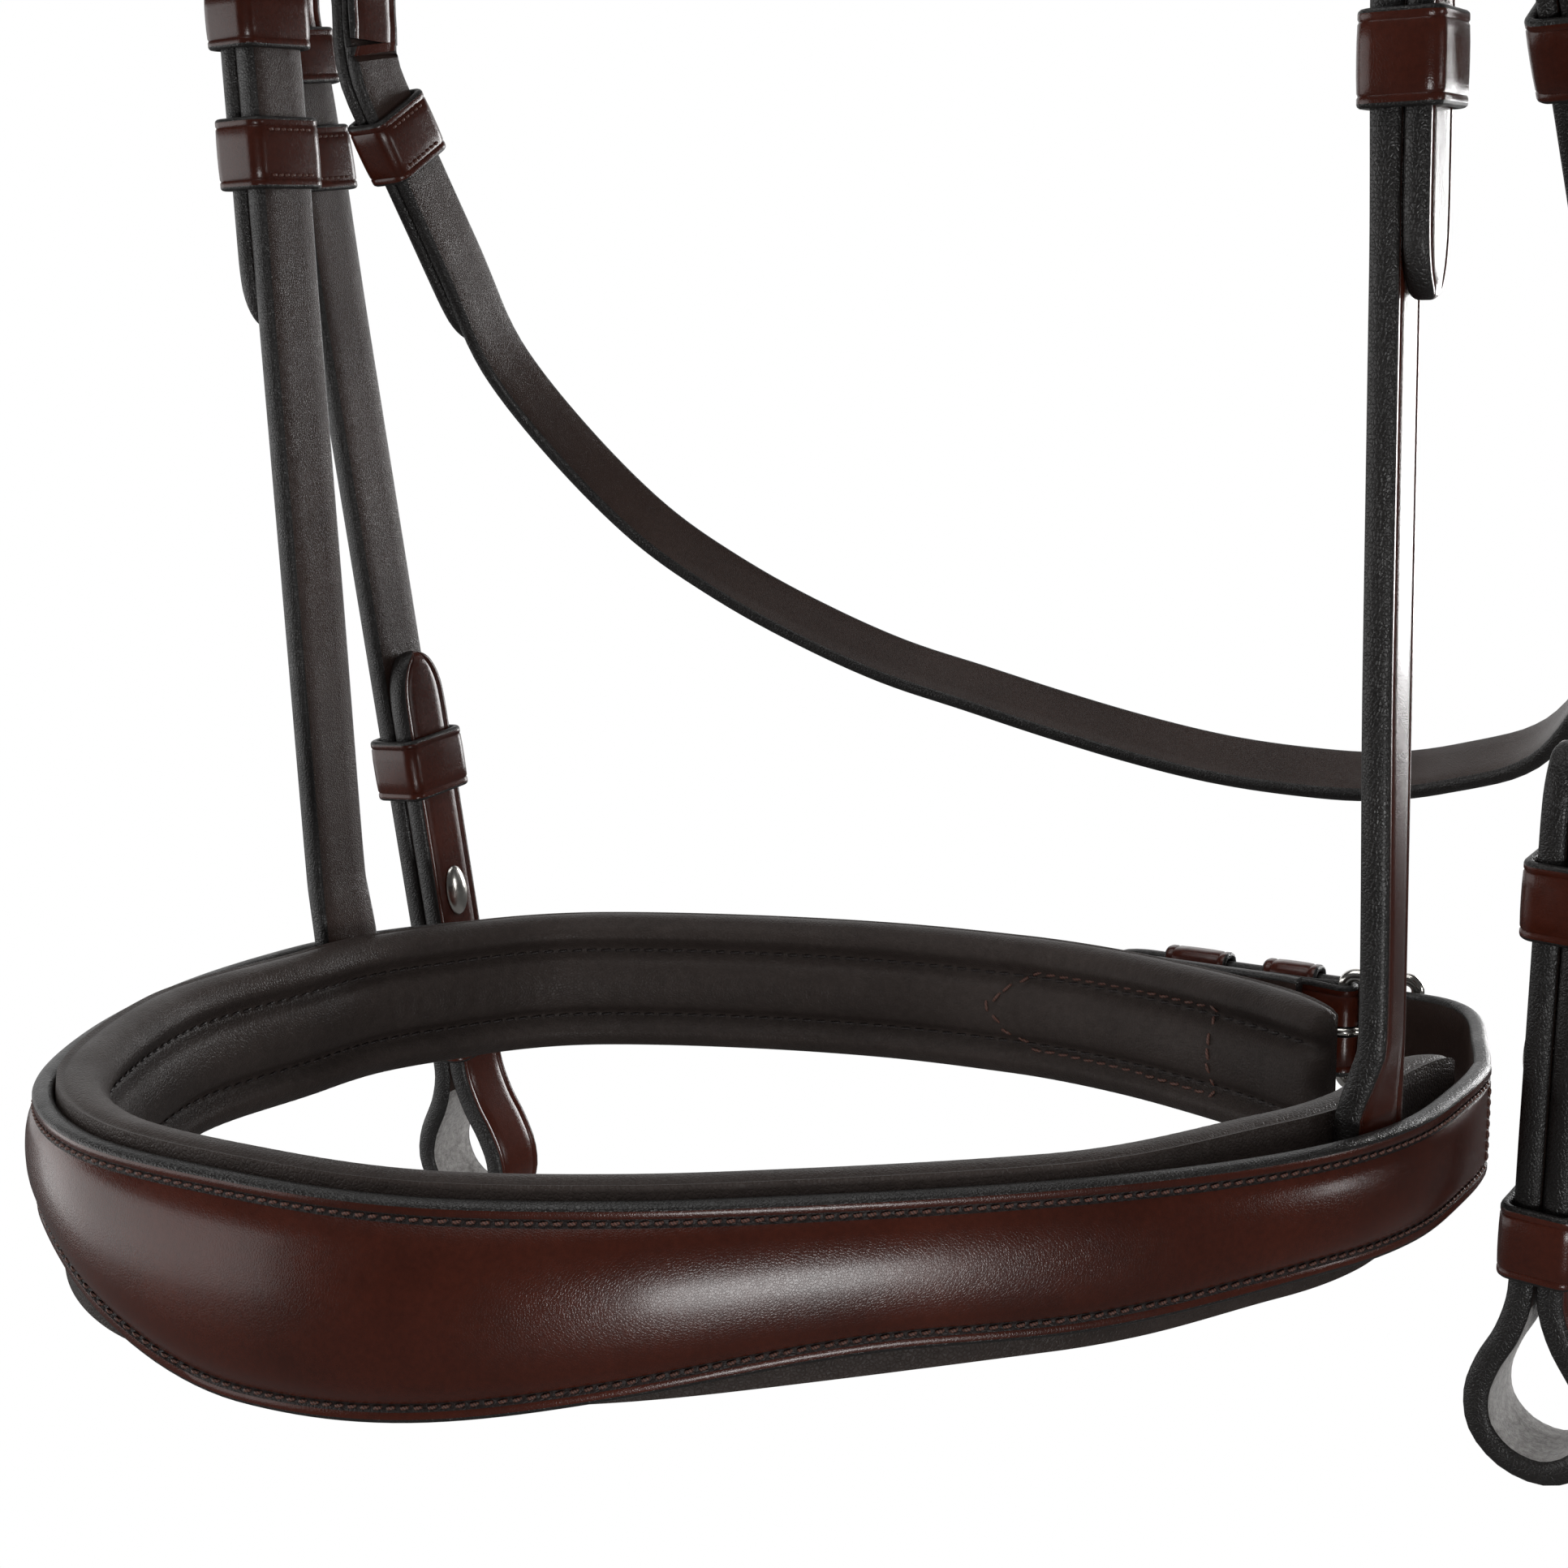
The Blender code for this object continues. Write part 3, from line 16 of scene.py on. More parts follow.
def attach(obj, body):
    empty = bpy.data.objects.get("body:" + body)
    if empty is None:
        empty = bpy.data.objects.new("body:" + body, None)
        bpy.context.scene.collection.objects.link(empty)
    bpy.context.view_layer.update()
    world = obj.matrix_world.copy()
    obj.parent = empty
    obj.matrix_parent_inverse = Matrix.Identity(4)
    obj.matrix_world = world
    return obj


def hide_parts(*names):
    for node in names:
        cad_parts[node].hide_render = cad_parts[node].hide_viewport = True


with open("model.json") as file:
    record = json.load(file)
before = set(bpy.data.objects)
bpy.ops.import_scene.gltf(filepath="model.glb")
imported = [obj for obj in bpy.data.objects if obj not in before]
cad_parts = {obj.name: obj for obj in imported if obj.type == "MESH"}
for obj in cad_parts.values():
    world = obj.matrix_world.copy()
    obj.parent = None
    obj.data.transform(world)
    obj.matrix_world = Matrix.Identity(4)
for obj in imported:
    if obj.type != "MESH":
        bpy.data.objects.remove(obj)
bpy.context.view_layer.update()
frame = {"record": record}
BODY_OF = {node: body for body, nodes in frame["record"]["behaviour"]["bodies"].items()
           for node in nodes}

# Sizes of the model. NEAR_TWIST, the FRONT sizes, NOSE_EXTRA_DEPTH and LEATHER_TAPERS are fitted
# to the photograph for the looks alone.
GAP, SLIDE_GAP, OVERRUN = 0.0003, 0.00035, 0.004
POCKET_SLOPE = 0.042
CHEEK_WIDTH, CHEEK_THICK = 0.0135, 0.0043
HANGER_WIDTH, HANGER_THICK = 0.0135, 0.0042
THROAT_WIDTH, THROAT_THICK = 0.0130, 0.0030
BILLET_THICK, THROAT_BILLET_THICK = 0.0036, 0.0028
EDGE_ROUND, TIP_LENGTH = 0.0009, 0.0110
POLL_RISE, POLL_BACK = 0.345, 0.028
BROW_RISE, BROW_HEIGHT = 0.2305, 0.022
HANGER_PIVOT = (0.1090, -0.0120, 0.212)
CHEEK_PIVOT = (0.1367, 0.0187, 0.210)
THROAT_PIVOT = (0.1170, 0.0252, 0.212)
HANGER_FOOT = (0.1078, 0.0025, 0.0)
CHEEK_FOOT = (0.1239, 0.0460, 0.0)
THROAT_FEET, THROAT_FOOT_RISE = (0.1179, 0.1155), 0.172
BILLET_TIP_RISE, RUNNER_RISE, CHEEK_RUNNER_RISE, THROAT_RUNNER_RISE = 0.118, 0.150, 0.153, 0.157
HANGER_BEND_RISE, HANGER_SUNK = 0.010, 0.0165
THROAT_BEND_DROP, THROAT_BEND_LENGTH, THROAT_HANG_RISE = 0.038, 0.009, 0.114
THROAT_HANG_OUT, THROAT_HANG_BACK, THROAT_HANG_DROP = 0.1132, 0.051, 0.0815
THROAT_TILT, NEAR_TWIST = math.radians(32.0), math.radians(6.0)
BAR_RADIUS, BUCKLE_LENGTH, BUCKLE_SIDE_GAP, BUCKLE_CORNER = 0.0012, 0.013, 0.0005, 0.0022
TONGUE_RADIUS, TONGUE_GAP = 0.0008, 0.00025
CHEEK_BAR_DROP, HANGER_BAR_DROP, THROAT_BAR_DROP = 0.0090, 0.0095, 0.0095
FOLD_SHARE, FOLD_LEG, KEEPER_DROP, SLOT_LENGTH = 0.43, 0.015, 0.0155, 0.0095
KEEPER_THICK, REAR_KEEPER_THICK = 0.0016, 0.0012
KEEPER_HEIGHT, RUNNER_HEIGHT, KEEPER_CORNER = 0.011, 0.013, 0.0011
BIT_LOOP_NECK_RISE, BIT_LOOP_DROP, BIT_LOOP_HALF_WIDTH = -0.0375, 0.034, 0.010
CHEEK_TIP_RISE, CHEEK_LAYER_GAP = 0.052, 0.0004
STUD_RISE, STUD_SHANK_RADIUS = 0.0, 0.0014
STUD_HEAD_LENGTH, STUD_HEAD_WIDTH, STUD_HEAD_THICK = 0.011, 0.006, 0.0014
STUD_RUNNER_RISE, STUD_KEEPER_RISE, STUD_KEEPER_HEIGHT = 0.028, -0.030, 0.013
NOSE_HALF_WIDTH, NOSE_REACH = 0.110, 0.110
LEATHER_RIM_THICK, LEATHER_TOP, LEATHER_DEPTH, NOSE_EXTRA_DEPTH = 0.0032, -0.0018, 0.0192, 0.0111
FRONT_EXTRA_DEPTH, FRONT_OFF_FADE, FRONT_NEAR_END, FRONT_NEAR_FADE = 0.0032, 0.060, 0.160, 0.050
NOSE_SHIFT, LEATHER_TAPERS, LINING_TAPERS = 0.020, (0.052, 0.098), (0.128, 0.128)
DOME_SIDE, DOME_NOSE, DOME_FADE = 0.0014, 0.0034, 0.030
LINING_THICK, LINING_DEPTH, LINING_EXTRA_DEPTH = 0.0092, 0.0275, 0.0058
LINING_CURL, LINING_CURL_LENGTH, LINING_END_ROUND = 0.0185, 0.075, 0.012
LEATHER_FAR_START, LEATHER_FLAT_LENGTH, NEAR_LEATHER_END_BACK = 0.019, 0.070, 0.044
REAR_WIDTH, REAR_THICK, CHAPE_THICK = 0.0175, 0.0028, 0.0028
REAR_BAR_OUT, REAR_BAR_BACK, REAR_TIP_OUT, CHAPE_END_OUT = 0.0685, 0.0861, 0.014, 0.006
REAR_KEEPER_OUT, REAR_RUNNER_OUT, REAR_BEND_REACH = 0.0565, 0.037, 0.36
CROWN_WIDTH, CROWN_SPLIT_WIDTH, CROWN_THICK, TAIL_THICK = 0.042, 0.0285, 0.004, 0.0034
PAD_WIDTH, PAD_THICK = 0.050, 0.008
HEAD_STRAP_WIDTH, HEAD_STRAP_THICK = 0.0135, 0.0036
ARCH_HALF_WIDTH, ARCH_DROP, ARCH_FORWARD = 0.118, 0.077, 0.0125
BROW_THICK, BROW_REACH, BROW_ROOM, BROW_SLACK = 0.0034, 0.130, 0.0009, 0.0055
NOSE_STATION = 0.010

NOSE_ROUTE_SHARES = (
    (0.727, 0.718), (0.600, 0.732), (0.436, 0.736), (0.255, 0.736), (0.045, 0.722),
    (-0.200, 0.682), (-0.455, 0.591), (-0.695, 0.460), (-0.885, 0.290), (-0.985, 0.075),
    (-0.993, -0.130), (-0.945, -0.382), (-0.823, -0.655), (-0.645, -0.885),
    (-0.409, -1.005), (-0.127, -1.005), (0.109, -0.955), (0.327, -0.827), (0.518, -0.664),
    (0.700, -0.482), (0.848, -0.300), (0.950, -0.118), (0.996, 0.055), (0.995, 0.236),
    (0.975, 0.400), (0.917, 0.558),
)
LINING_SHARES = (
    (0.0, 0.09), (0.0, 0.91), (0.14, 0.98), (0.42, 1.0), (0.74, 0.965), (0.90, 0.86),
    (0.66, 0.745), (0.90, 0.655), (1.0, 0.50), (0.90, 0.345), (0.66, 0.255), (0.90, 0.14),
    (0.74, 0.035), (0.42, 0.0), (0.14, 0.02),
)
DOME_SHARES = ((0.0, 0.0), (0.10, 0.50), (0.28, 0.88), (0.50, 1.0), (0.72, 0.88),
               (0.90, 0.50), (1.0, 0.0))
BIT_LOOP_SHARES = (
    (0.03, 0.12), (0.28, 0.31), (0.70, 0.50), (0.90, 0.69), (0.68, 0.89), (0.10, 1.0),
    (-0.55, 0.97), (-1.00, 0.84), (-1.10, 0.67), (-0.95, 0.49), (-0.66, 0.30), (-0.50, 0.12),
)
ARCH_SHARES = (
    (0.0, 0.0, 0.0), (0.25, 0.03, 0.03), (0.48, 0.14, 0.10), (0.71, 0.355, 0.28),
    (0.895, 0.655, 0.62), (1.0, 1.0, 1.0),
)
THROAT_SHARES = (
    (1.055, 0.220), (1.040, 0.460), (0.968, 0.700), (0.862, 0.874), (0.718, 0.951),
    (0.571, 0.995), (0.423, 1.0), (0.272, 0.986), (0.121, 0.951), (-0.034, 0.902),
    (-0.191, 0.845), (-0.352, 0.786), (-0.509, 0.698), (-0.662, 0.585), (-0.805, 0.437),
    (-0.924, 0.223),
)
TIP_SHARES = [(share, math.sqrt(1 - (1 - share) ** 2.1) * 0.97 + 0.03) for share in
              (0.0, 0.004, 0.015, 0.035, 0.065, 0.105, 0.155, 0.22, 0.30, 0.40, 0.52, 0.68, 1.0)]
TIP_ROUND, TIP_LEAST = 0.0016, 0.38
SIDES = (("near", 1.0), ("off", -1.0))
HOME = Vector((0.0, -POLL_BACK, -POLL_RISE))
ACROSS = Vector((0, 1, 0))
UP = Vector((0, 0, 1))
BACKDROP_WAY = (-0.571, 0.821, 0.0)
CAMERA_PLACE, CAMERA_TURN, CAMERA_TILT = (0.2355, -0.3646, -0.2414), 34.83, 8.83
LENS_LENGTH, SENSOR_WIDTH, CLIP_START = 55.9, 36.0, 0.01
FLOOR_HALF, FLOOR_LEVEL, GLOW_FADE = 4.0, -0.95, (0.35, 0.85)
AMBIENT, WHITE = (0.60, 0.60, 0.60, 1), (1, 1, 1, 1)
FLOOR_UNSEEN, FLOOR_SEEN = (0.12, 0.12, 0.12, 1), (0.80, 0.80, 0.80, 1)
FACE_LIFT, ROW_INSET, SEAM_LIFT = 0.0001, 0.0034, 0.00002
END_ROUND, END_LEAST, END_SHRINK, SLOPE_REACH = 0.0010, 0.0004, 0.0008, 0.001
KEEPER_CREASE, KEEPER_CROWN = (0.0017, 0.00035, 0.00018), ((0.00008, 0.35), (0.0001, 0.0))
KEEPER_ROW_IN, KEEPER_SEAM_LIFT, KEEPER_STITCH = 0.0024, 0.00012, (0.00024, 0.12, 0.45)
END_ROW_IN, END_ROW_MARGIN = 0.0030, 0.0016
PATCH_NEAR, PATCH_OVER, PATCH_CORNER = 0.028, 0.006, 0.010
HOLE_PITCH, HOLE_HALF_LONG, HOLE_HALF_WIDE, HOLE_FROM_TIP = 0.012, 0.0013, 0.0010, 0.004
CREASE_IN, CREASE_HALF, CREASE_DEEP = 0.0021, 0.0004, 0.0002
CREASE_CROWN, PAINT_ROUND = 0.00006, 0.001
NOSE_STEP, LINING_STEP, BROW_STEP = 0.0025, 0.0013, 0.0045
STRAP_STEP, BILLET_STEP, CHEEK_STEP, HANGER_STEP = 0.003, 0.0022, 0.002, 0.0025
TAIL_STEP, HEAD_STEP = 0.004, 0.005
NOSE_PITCH, LINING_PITCH, PATCH_PITCH = 0.0019, 0.0031, 0.0030
# Stitches: length, radius, slant, and how proud they stand as a share of the radius
NOSE_STITCH, NOSE_END_STITCH = (0.00135, 0.00027, 0.16, 0.9), (0.0018, 0.0003, 0.15, 0.5)
LINING_STITCH, PATCH_STITCH = (0.0021, 0.00026, 0.1, 0.8), (0.0023, 0.00030, 0.15, 0.7)
CROWN_STITCH, BROW_STITCH = (0.0029, 0.0003, 0.2, 0.5), (0.0019, 0.0003, 0.25, 0.5)
# Padding where it bends: two rows of creases, as pitch, sway, sway's pace and share
LINING_CREASES = ((0.0051, 1.7, 210.0, 1.0), (0.0033, 2.3, 130.0, 0.6))
CREASE_DEPTH, PUCKER_DEPTH, PUCKER_PITCH = 0.00016, 0.00010, 0.0030
LINING_CHANNELS, CHANNEL_IN = (("upper", 0.745), ("lower", 0.255)), 0.665

# Materials


def fill(made, inputs):
    """Give a node's inputs their values: an output is linked, anything else is set."""
    for key, value in inputs.items():
        if isinstance(value, bpy.types.NodeSocket):
            made.id_data.links.new(value, made.inputs[key])
        else:
            made.inputs[key].default_value = value


def node(tree, kind, inputs=None, **settings):
    made = tree.nodes.new(kind)
    for key, value in settings.items():
        setattr(made, key, value)
    fill(made, inputs or {})
    return made


def new_material(name):
    """A material, its tree and shader, and the place of a point in its object."""
    material = bpy.data.materials.new(name)
    material.use_nodes = True
    tree = material.node_tree
    place = node(tree, "ShaderNodeTexCoord").outputs["Object"]
    return material, tree, tree.nodes["Principled BSDF"], place


def mapped(tree, low, high, value, low_in=0.0, high_in=1.0):
    return node(tree, "ShaderNodeMapRange",
                {"Value": value, "From Min": low_in, "From Max": high_in, "To Min": low,
                 "To Max": high}).outputs["Result"]


def noise(tree, place, scale, detail, rough=0.5):
    return node(tree, "ShaderNodeTexNoise", {"Vector": place, "Scale": scale, "Detail": detail,
                                             "Roughness": rough}).outputs["Fac"]


def colours(tree, value, dark, light, low=0.0, high=1.0):
    ramp = node(tree, "ShaderNodeValToRGB", {"Fac": value})
    for index, (position, colour) in enumerate(((low, dark), (high, light))):
        ramp.color_ramp.elements[index].position = position
        ramp.color_ramp.elements[index].color = (*colour, 1)
    return ramp.outputs["Color"]


def maths(tree, operation, first, second):
    return node(tree, "ShaderNodeMath", {0: first, 1: second}, operation=operation).outputs[0]


def mixed(tree, share, first, second, blend='MIX'):
    return node(tree, "ShaderNodeMix", {0: share, 6: first, 7: second}, data_type='RGBA',
                blend_type=blend).outputs[2]


def bumped(tree, height, strength, distance):
    return node(tree, "ShaderNodeBump", {"Height": height, "Strength": strength,
                                         "Distance": distance}).outputs["Normal"]


def leather(name, dark, light, rough, spread, coat, grain, pores, depth, patina=26.0, worn=0.5,
            gloss=0.5):
    """Leather: cloudy dye, a fine pebbled grain with pores, uneven polish and rubbed edges."""
    material, tree, shader, place = new_material(name)
    dye = colours(tree, noise(tree, place, patina, 5.0, 0.62), dark, light, 0.32, 0.72)
    fine = noise(tree, place, grain * 0.45, 3.0, 0.55)
    speck = mixed(tree, 0.35, dye, mapped(tree, 0.55, 1.25, fine, 0.3, 0.7), 'MULTIPLY')
    bend = node(tree, "ShaderNodeNewGeometry").outputs["Pointiness"]
    bare = mixed(tree, mapped(tree, 0.0, worn, bend, 0.54, 0.66), speck,
                 (*(value * 1.9 for value in light), 1))
    rub = noise(tree, place, patina * 3.1, 3.0)
    cells = node(tree, "ShaderNodeTexVoronoi", {"Vector": place, "Scale": grain},
                 feature='DISTANCE_TO_EDGE').outputs["Distance"]
    dots = node(tree, "ShaderNodeTexVoronoi",
                {"Vector": place, "Scale": grain * 0.42}).outputs["Distance"]
    height = maths(tree, 'ADD', mapped(tree, 0.0, 0.6, cells, 0.0, 0.22),
                   mapped(tree, -pores, 0.0, dots, 0.0, 0.28))
    height = maths(tree, 'ADD', height, mapped(tree, 0.0, 0.8, fine))
    fill(shader, {"Base Color": bare, "Normal": bumped(tree, height, 1.0, depth),
                  "Roughness": mapped(tree, rough - spread, rough + spread, rub, 0.3, 0.7),
                  "Coat Weight": coat, "Coat Roughness": 0.18, "Specular IOR Level": gloss,
                  "IOR": 1.48})
    return material


def suede(name, dark, light):
    """Raw flesh side: short brushed fibres without polish."""
    material, tree, shader, place = new_material(name)
    nap = noise(tree, place, 900.0, 7.0, 0.75)
    fill(shader, {"Base Color": colours(tree, nap, dark, light, 0.34, 0.68), "Roughness": 0.9,
                  "Normal": bumped(tree, nap, 1.0, 0.00025), "Sheen Weight": 0.4})
    return material


def metal(name):
    """Polished nickel with faint brushing and handling marks."""
    material, tree, shader, place = new_material(name)
    smear = noise(tree, place, 180.0, 6.0, 0.65)
    fill(shader, {"Base Color": colours(tree, smear, (0.60, 0.575, 0.53), (0.80, 0.785, 0.75)),
                  "Roughness": mapped(tree, 0.12, 0.30, smear, 0.3, 0.7), "Metallic": 1.0,
                  "Normal": bumped(tree, noise(tree, place, 2600.0, 2.0), 0.5, 0.00002)})
    return material


def thread(name, dark, light):
    """Waxed linen thread, twisted."""
    material, tree, shader, place = new_material(name)
    twist = node(tree, "ShaderNodeTexWave", {"Vector": place, "Scale": 900.0, "Distortion": 2.0,
                                             "Detail": 1.0},
                 bands_direction='DIAGONAL').outputs["Fac"]
    fill(shader, {"Base Color": colours(tree, twist, dark, light), "Roughness": 0.55,
                  "Normal": bumped(tree, twist, 0.7, 0.00006)})
    return material


CONKER = leather("conker_leather", (0.029, 0.0056, 0.0026), (0.058, 0.0112, 0.0052), rough=0.25,
                 spread=0.025, coat=0.24, grain=2400.0, pores=0.4, depth=0.000018, worn=0.2,
                 gloss=0.30)
FLESH = leather("dressed_flesh_side", (0.021, 0.0112, 0.0086), (0.034, 0.0196, 0.0155),
                rough=0.38, spread=0.05, coat=0.05, grain=2600.0, pores=0.3, depth=0.00005,
                gloss=0.25)
EDGE = leather("black_edge", (0.0062, 0.0052, 0.0048), (0.0130, 0.0110, 0.0102), rough=0.42,
               spread=0.06, coat=0.05, grain=1700.0, pores=0.9, depth=0.00008, patina=60.0,
               worn=0.3)
LINING = leather("black_lining_leather", (0.0260, 0.0196, 0.0174), (0.0420, 0.0325, 0.0290),
                 rough=0.45, spread=0.05, coat=0.0, grain=1500.0, pores=0.8, depth=0.00008,
                 worn=0.3, gloss=0.15)
# Stitch groove: its near-black colour is painted shade of the groove and the stitch holes
GROOVE_SHADE = leather("stitch_groove_painted_shade", (0.006, 0.0022, 0.0016), (0.014, 0.0046, 0.0030), rough=0.55,
                 spread=0.05, coat=0.0, grain=1500.0, pores=0.5, depth=0.00008)
# Pale grey suede: the flesh side inside the cheek straps' bit loops, and a painted highlight on
# the lining's near end
SUEDE_AND_SHEEN = suede("grey_suede_and_painted_sheen", (0.16, 0.15, 0.145), (0.42, 0.405, 0.39))
NICKEL = metal("polished_nickel")
BROWN_THREAD = thread("brown_thread", (0.040, 0.0150, 0.0100), (0.120, 0.0480, 0.0330))
BLACK_THREAD = thread("dark_thread", (0.008, 0.006, 0.006), (0.030, 0.020, 0.018))
STRAP_SET = (CONKER, EDGE, FLESH, GROOVE_SHADE, SUEDE_AND_SHEEN)
# Materials and slot of each kind of piece
LEATHER_KIND = (STRAP_SET, "brown_leather")
METAL_KIND = ((NICKEL,), "nickel_fittings")
SEWN_KIND = ((BROWN_THREAD,), "brown_leather")
LINING_SEWN_KIND = ((BLACK_THREAD,), "black_lining")

# Pieces and their meshes


def add(name, mesh, materials, owner, replaces=None):
    """One piece of the looks on the body that carries the CAD node `owner`."""
    for material in materials:
        mesh.materials.append(material)
    piece = bpy.data.objects.new(name, mesh)
    bpy.context.scene.collection.objects.link(piece)
    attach(piece, BODY_OF[owner])
    if replaces:
        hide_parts(replaces)
    return piece


def dress(name, mesh, kind=LEATHER_KIND):
    """The piece that stands in for the CAD node of this name."""
    add(name + "_dressed", mesh, kind[0], name, name)


def sew(name, places, owner, sizes, kind=SEWN_KIND):
    """Rows of stitches; sizes are their length, radius, slant and how proud they stand."""
    add(name, stitches_mesh(name, places, *sizes), kind[0], owner)


def finish_mesh(mesh, angle=38.0):
    mesh.shade_smooth()
    mesh.set_sharp_from_angle(angle=math.radians(angle))
    return mesh


def circle(count):
    return [(math.cos(turn), math.sin(turn))
            for turn in (2 * math.pi * k / count for k in range(count))]


def closed_mesh(name, points, faces, marks=None):
    """A mesh whose faces all look outward."""
    mesh = bpy.data.meshes.new(name)
    mesh.from_pydata(points, [], faces)
    if marks:
        mesh.polygons.foreach_set("material_index", marks)
    bm = bmesh.new()
    bm.from_mesh(mesh)
    bmesh.ops.recalc_face_normals(bm, faces=bm.faces)
    bm.to_mesh(mesh)
    bm.free()
    return mesh


def skin(name, rings, zones=None, closed=False, angle=38.0):
    """A closed skin through rings, each strip between ring points in its own zone."""
    count, total = len(rings[0]), len(rings)
    points = [point + HOME for ring in rings for point in ring]
    faces, marks = [], []
    for index in range(total if closed else total - 1):
        after = (index + 1) % total
        for k in range(count):
            near, far = index * count, after * count
            other = (k + 1) % count
            faces.append((near + k, near + other, far + other, far + k))
            mark = zones[k] if zones else 0
            marks.append(mark(index) if callable(mark) else mark)
    if not closed:
        faces.append(tuple(range(count)))
        faces.append(tuple(range((total - 1) * count, total * count)))
        marks += [1 if zones else 0] * 2
    return finish_mesh(closed_mesh(name, points, faces, marks), angle)


def cut(mesh, cutters, zone=1):
    """The mesh with closed cutter meshes taken out; the cut's walls get their own zone."""
    slots = max(polygon.material_index for polygon in mesh.polygons) + 1
    while len(mesh.materials) < max(slots, zone + 1):
        mesh.materials.append(STRAP_SET[len(mesh.materials)])
    body = bpy.data.objects.new("body", mesh)
    bpy.context.scene.collection.objects.link(body)
    spare = [body]
    for cutter in cutters:
        for material in mesh.materials:
            cutter.materials.append(material)
        cutter.polygons.foreach_set("material_index", [zone] * len(cutter.polygons))
        helper = bpy.data.objects.new("helper", cutter)
        bpy.context.scene.collection.objects.link(helper)
        modifier = body.modifiers.new("boolean", 'BOOLEAN')
        modifier.operation, modifier.solver, modifier.object = 'DIFFERENCE', 'EXACT', helper
        spare.append(helper)
    evaluated = body.evaluated_get(bpy.context.evaluated_depsgraph_get())
    result = bpy.data.meshes.new_from_object(evaluated)
    for one in spare:
        bpy.data.objects.remove(one, do_unlink=True)
    marks = [polygon.material_index for polygon in result.polygons]
    result.materials.clear()
    result.polygons.foreach_set("material_index", marks)
    return finish_mesh(result)


def box_rings(centre, along, across, up, sizes):
    half = [size / 2 for size in sizes]
    return [[centre + along * (end * half[0]) + across * (a * half[1]) + up * (b * half[2])
             for a, b in ((-1, -1), (1, -1), (1, 1), (-1, 1))] for end in (-1, 1)]


def smooth_points(points, step, closed=False):
    """Points about step apart on a Catmull-Rom curve through the given ones."""
    points = [Vector(point) for point in points]
    count = len(points)
    result = []
    for index in range(count if closed else count - 1):
        if closed:
            a, b, c, d = (points[(index + k) % count] for k in (-1, 0, 1, 2))
        else:
            b, c = points[index], points[index + 1]
            a = points[index - 1] if index else b * 2 - c
            d = points[index + 2] if index + 2 < count else c * 2 - b
        parts = max(1, round((c - b).length / step))
        for part in range(parts):
            t = part / parts
            result.append(((b * 2) + (c - a) * t + (a * 2 - b * 5 + c * 4 - d) * t ** 2
                           + (b * 3 - a - c * 3 + d) * t ** 3) / 2)
    if not closed:
        result.append(points[-1])
    return result


def tangents(points, closed=False):
    count = len(points)
    result = []
    for index in range(count):
        before = points[index - 1] if index or closed else points[0]
        after = points[(index + 1) % count] if index + 1 < count or closed else points[-1]
        result.append((after - before).normalized())
    return result


def refine(stations, step):
    """Finer stations (point, hint, width, thickness) on a curve that keeps each given one."""
    flat = [[*point, *hint, width, thick] for point, hint, width, thick in stations]
    spans = [max((stations[k + 1][0] - stations[k][0]).length, 1e-6)
             for k in range(len(stations) - 1)]
    slopes = []
    for k in range(len(flat)):
        if k == 0 or k == len(flat) - 1:
            here = 0 if k == 0 else k - 1
            slopes.append([(b - a) / spans[here] for a, b in zip(flat[here], flat[here + 1])])
            continue
        left, right = spans[k - 1], spans[k]
        slopes.append([((b - a) / left * right + (c - b) / right * left) / (left + right)
                       for a, b, c in zip(flat[k - 1], flat[k], flat[k + 1])])
    result = []
    for k, span in enumerate(spans):
        parts = max(1, round(span / step))
        reach = [min(span, 1.6 * min(spans[max(index - 1, 0)], spans[min(index, len(spans) - 1)]))
                 for index in (k, k + 1)]
        for part in range(parts):
            t = part / parts
            h = (2 * t ** 3 - 3 * t ** 2 + 1, t ** 3 - 2 * t ** 2 + t, 3 * t ** 2 - 2 * t ** 3,
                 t ** 3 - t ** 2)
            values = [a * h[0] + m * reach[0] * h[1] + b * h[2] + n * reach[1] * h[3]
                      for a, m, b, n in zip(flat[k], slopes[k], flat[k + 1], slopes[k + 1])]
            result.append((Vector(values[:3]), Vector(values[3:6]).normalized(), values[6],
                           values[7]))
    last = stations[-1]
    result.append((Vector(last[0]), Vector(last[1]).normalized(), last[2], last[3]))
    return result


def creased_section(t, w, edge, crease, crown, back_shares, parts):
    """Cross-section of half thickness t and half width w, and the zone of each of its sides.

    edge is the painted edges' rounding, crease its inset, half width and depth, and crown the
    outer face's (lift, share of w).
    """
    inset, half, deep = crease
    outer = [(t, w - edge), (t, w - inset + half), (t - deep, w - inset), (t, w - inset - half)]
    outer += [(t + lift, w * share) for lift, share in crown]
    outer += [(x, -y) for x, y in reversed(outer[:-1])]
    arc = [(t * math.cos(turn), w - edge + edge * math.sin(turn))
           for turn in (math.pi * k / parts for k in range(1, parts))]
    back = [(-t, w - edge), *((-t, w * share) for share in back_shares), (-t, edge - w)]
    round_zones = [1] * (len(arc) + 1)
    zones = [0] * (len(outer) - 1) + round_zones + [2] * (len(back) - 1) + round_zones
    return outer + [(x, -y) for x, y in arc] + back[::-1] + arc[::-1], zones


def strap_section(wide, thick):
    w = wide / 2
    crease = (min(CREASE_IN, w * 0.62), min(CREASE_HALF, w * 0.1), CREASE_DEEP)
    return creased_section(thick / 2, w, min(PAINT_ROUND, w * 0.45), crease,
                           ((CREASE_CROWN, 0.4), (CREASE_CROWN * 1.5, 0.0)), (0.4, 0.0, -0.4), 8)


def strap_rings(stations, face):
    rings, zones = [], None
    ways = tangents([station[0] for station in stations])
    for (point, hint, wide, thick), along in zip(stations, ways):
        across = (hint - along * along.dot(hint)).normalized()
        normal = across.cross(along)
        section, zones = strap_section(wide, thick)
        rings.append([point + normal * (x * face) + across * y for x, y in section])
    return rings, zones


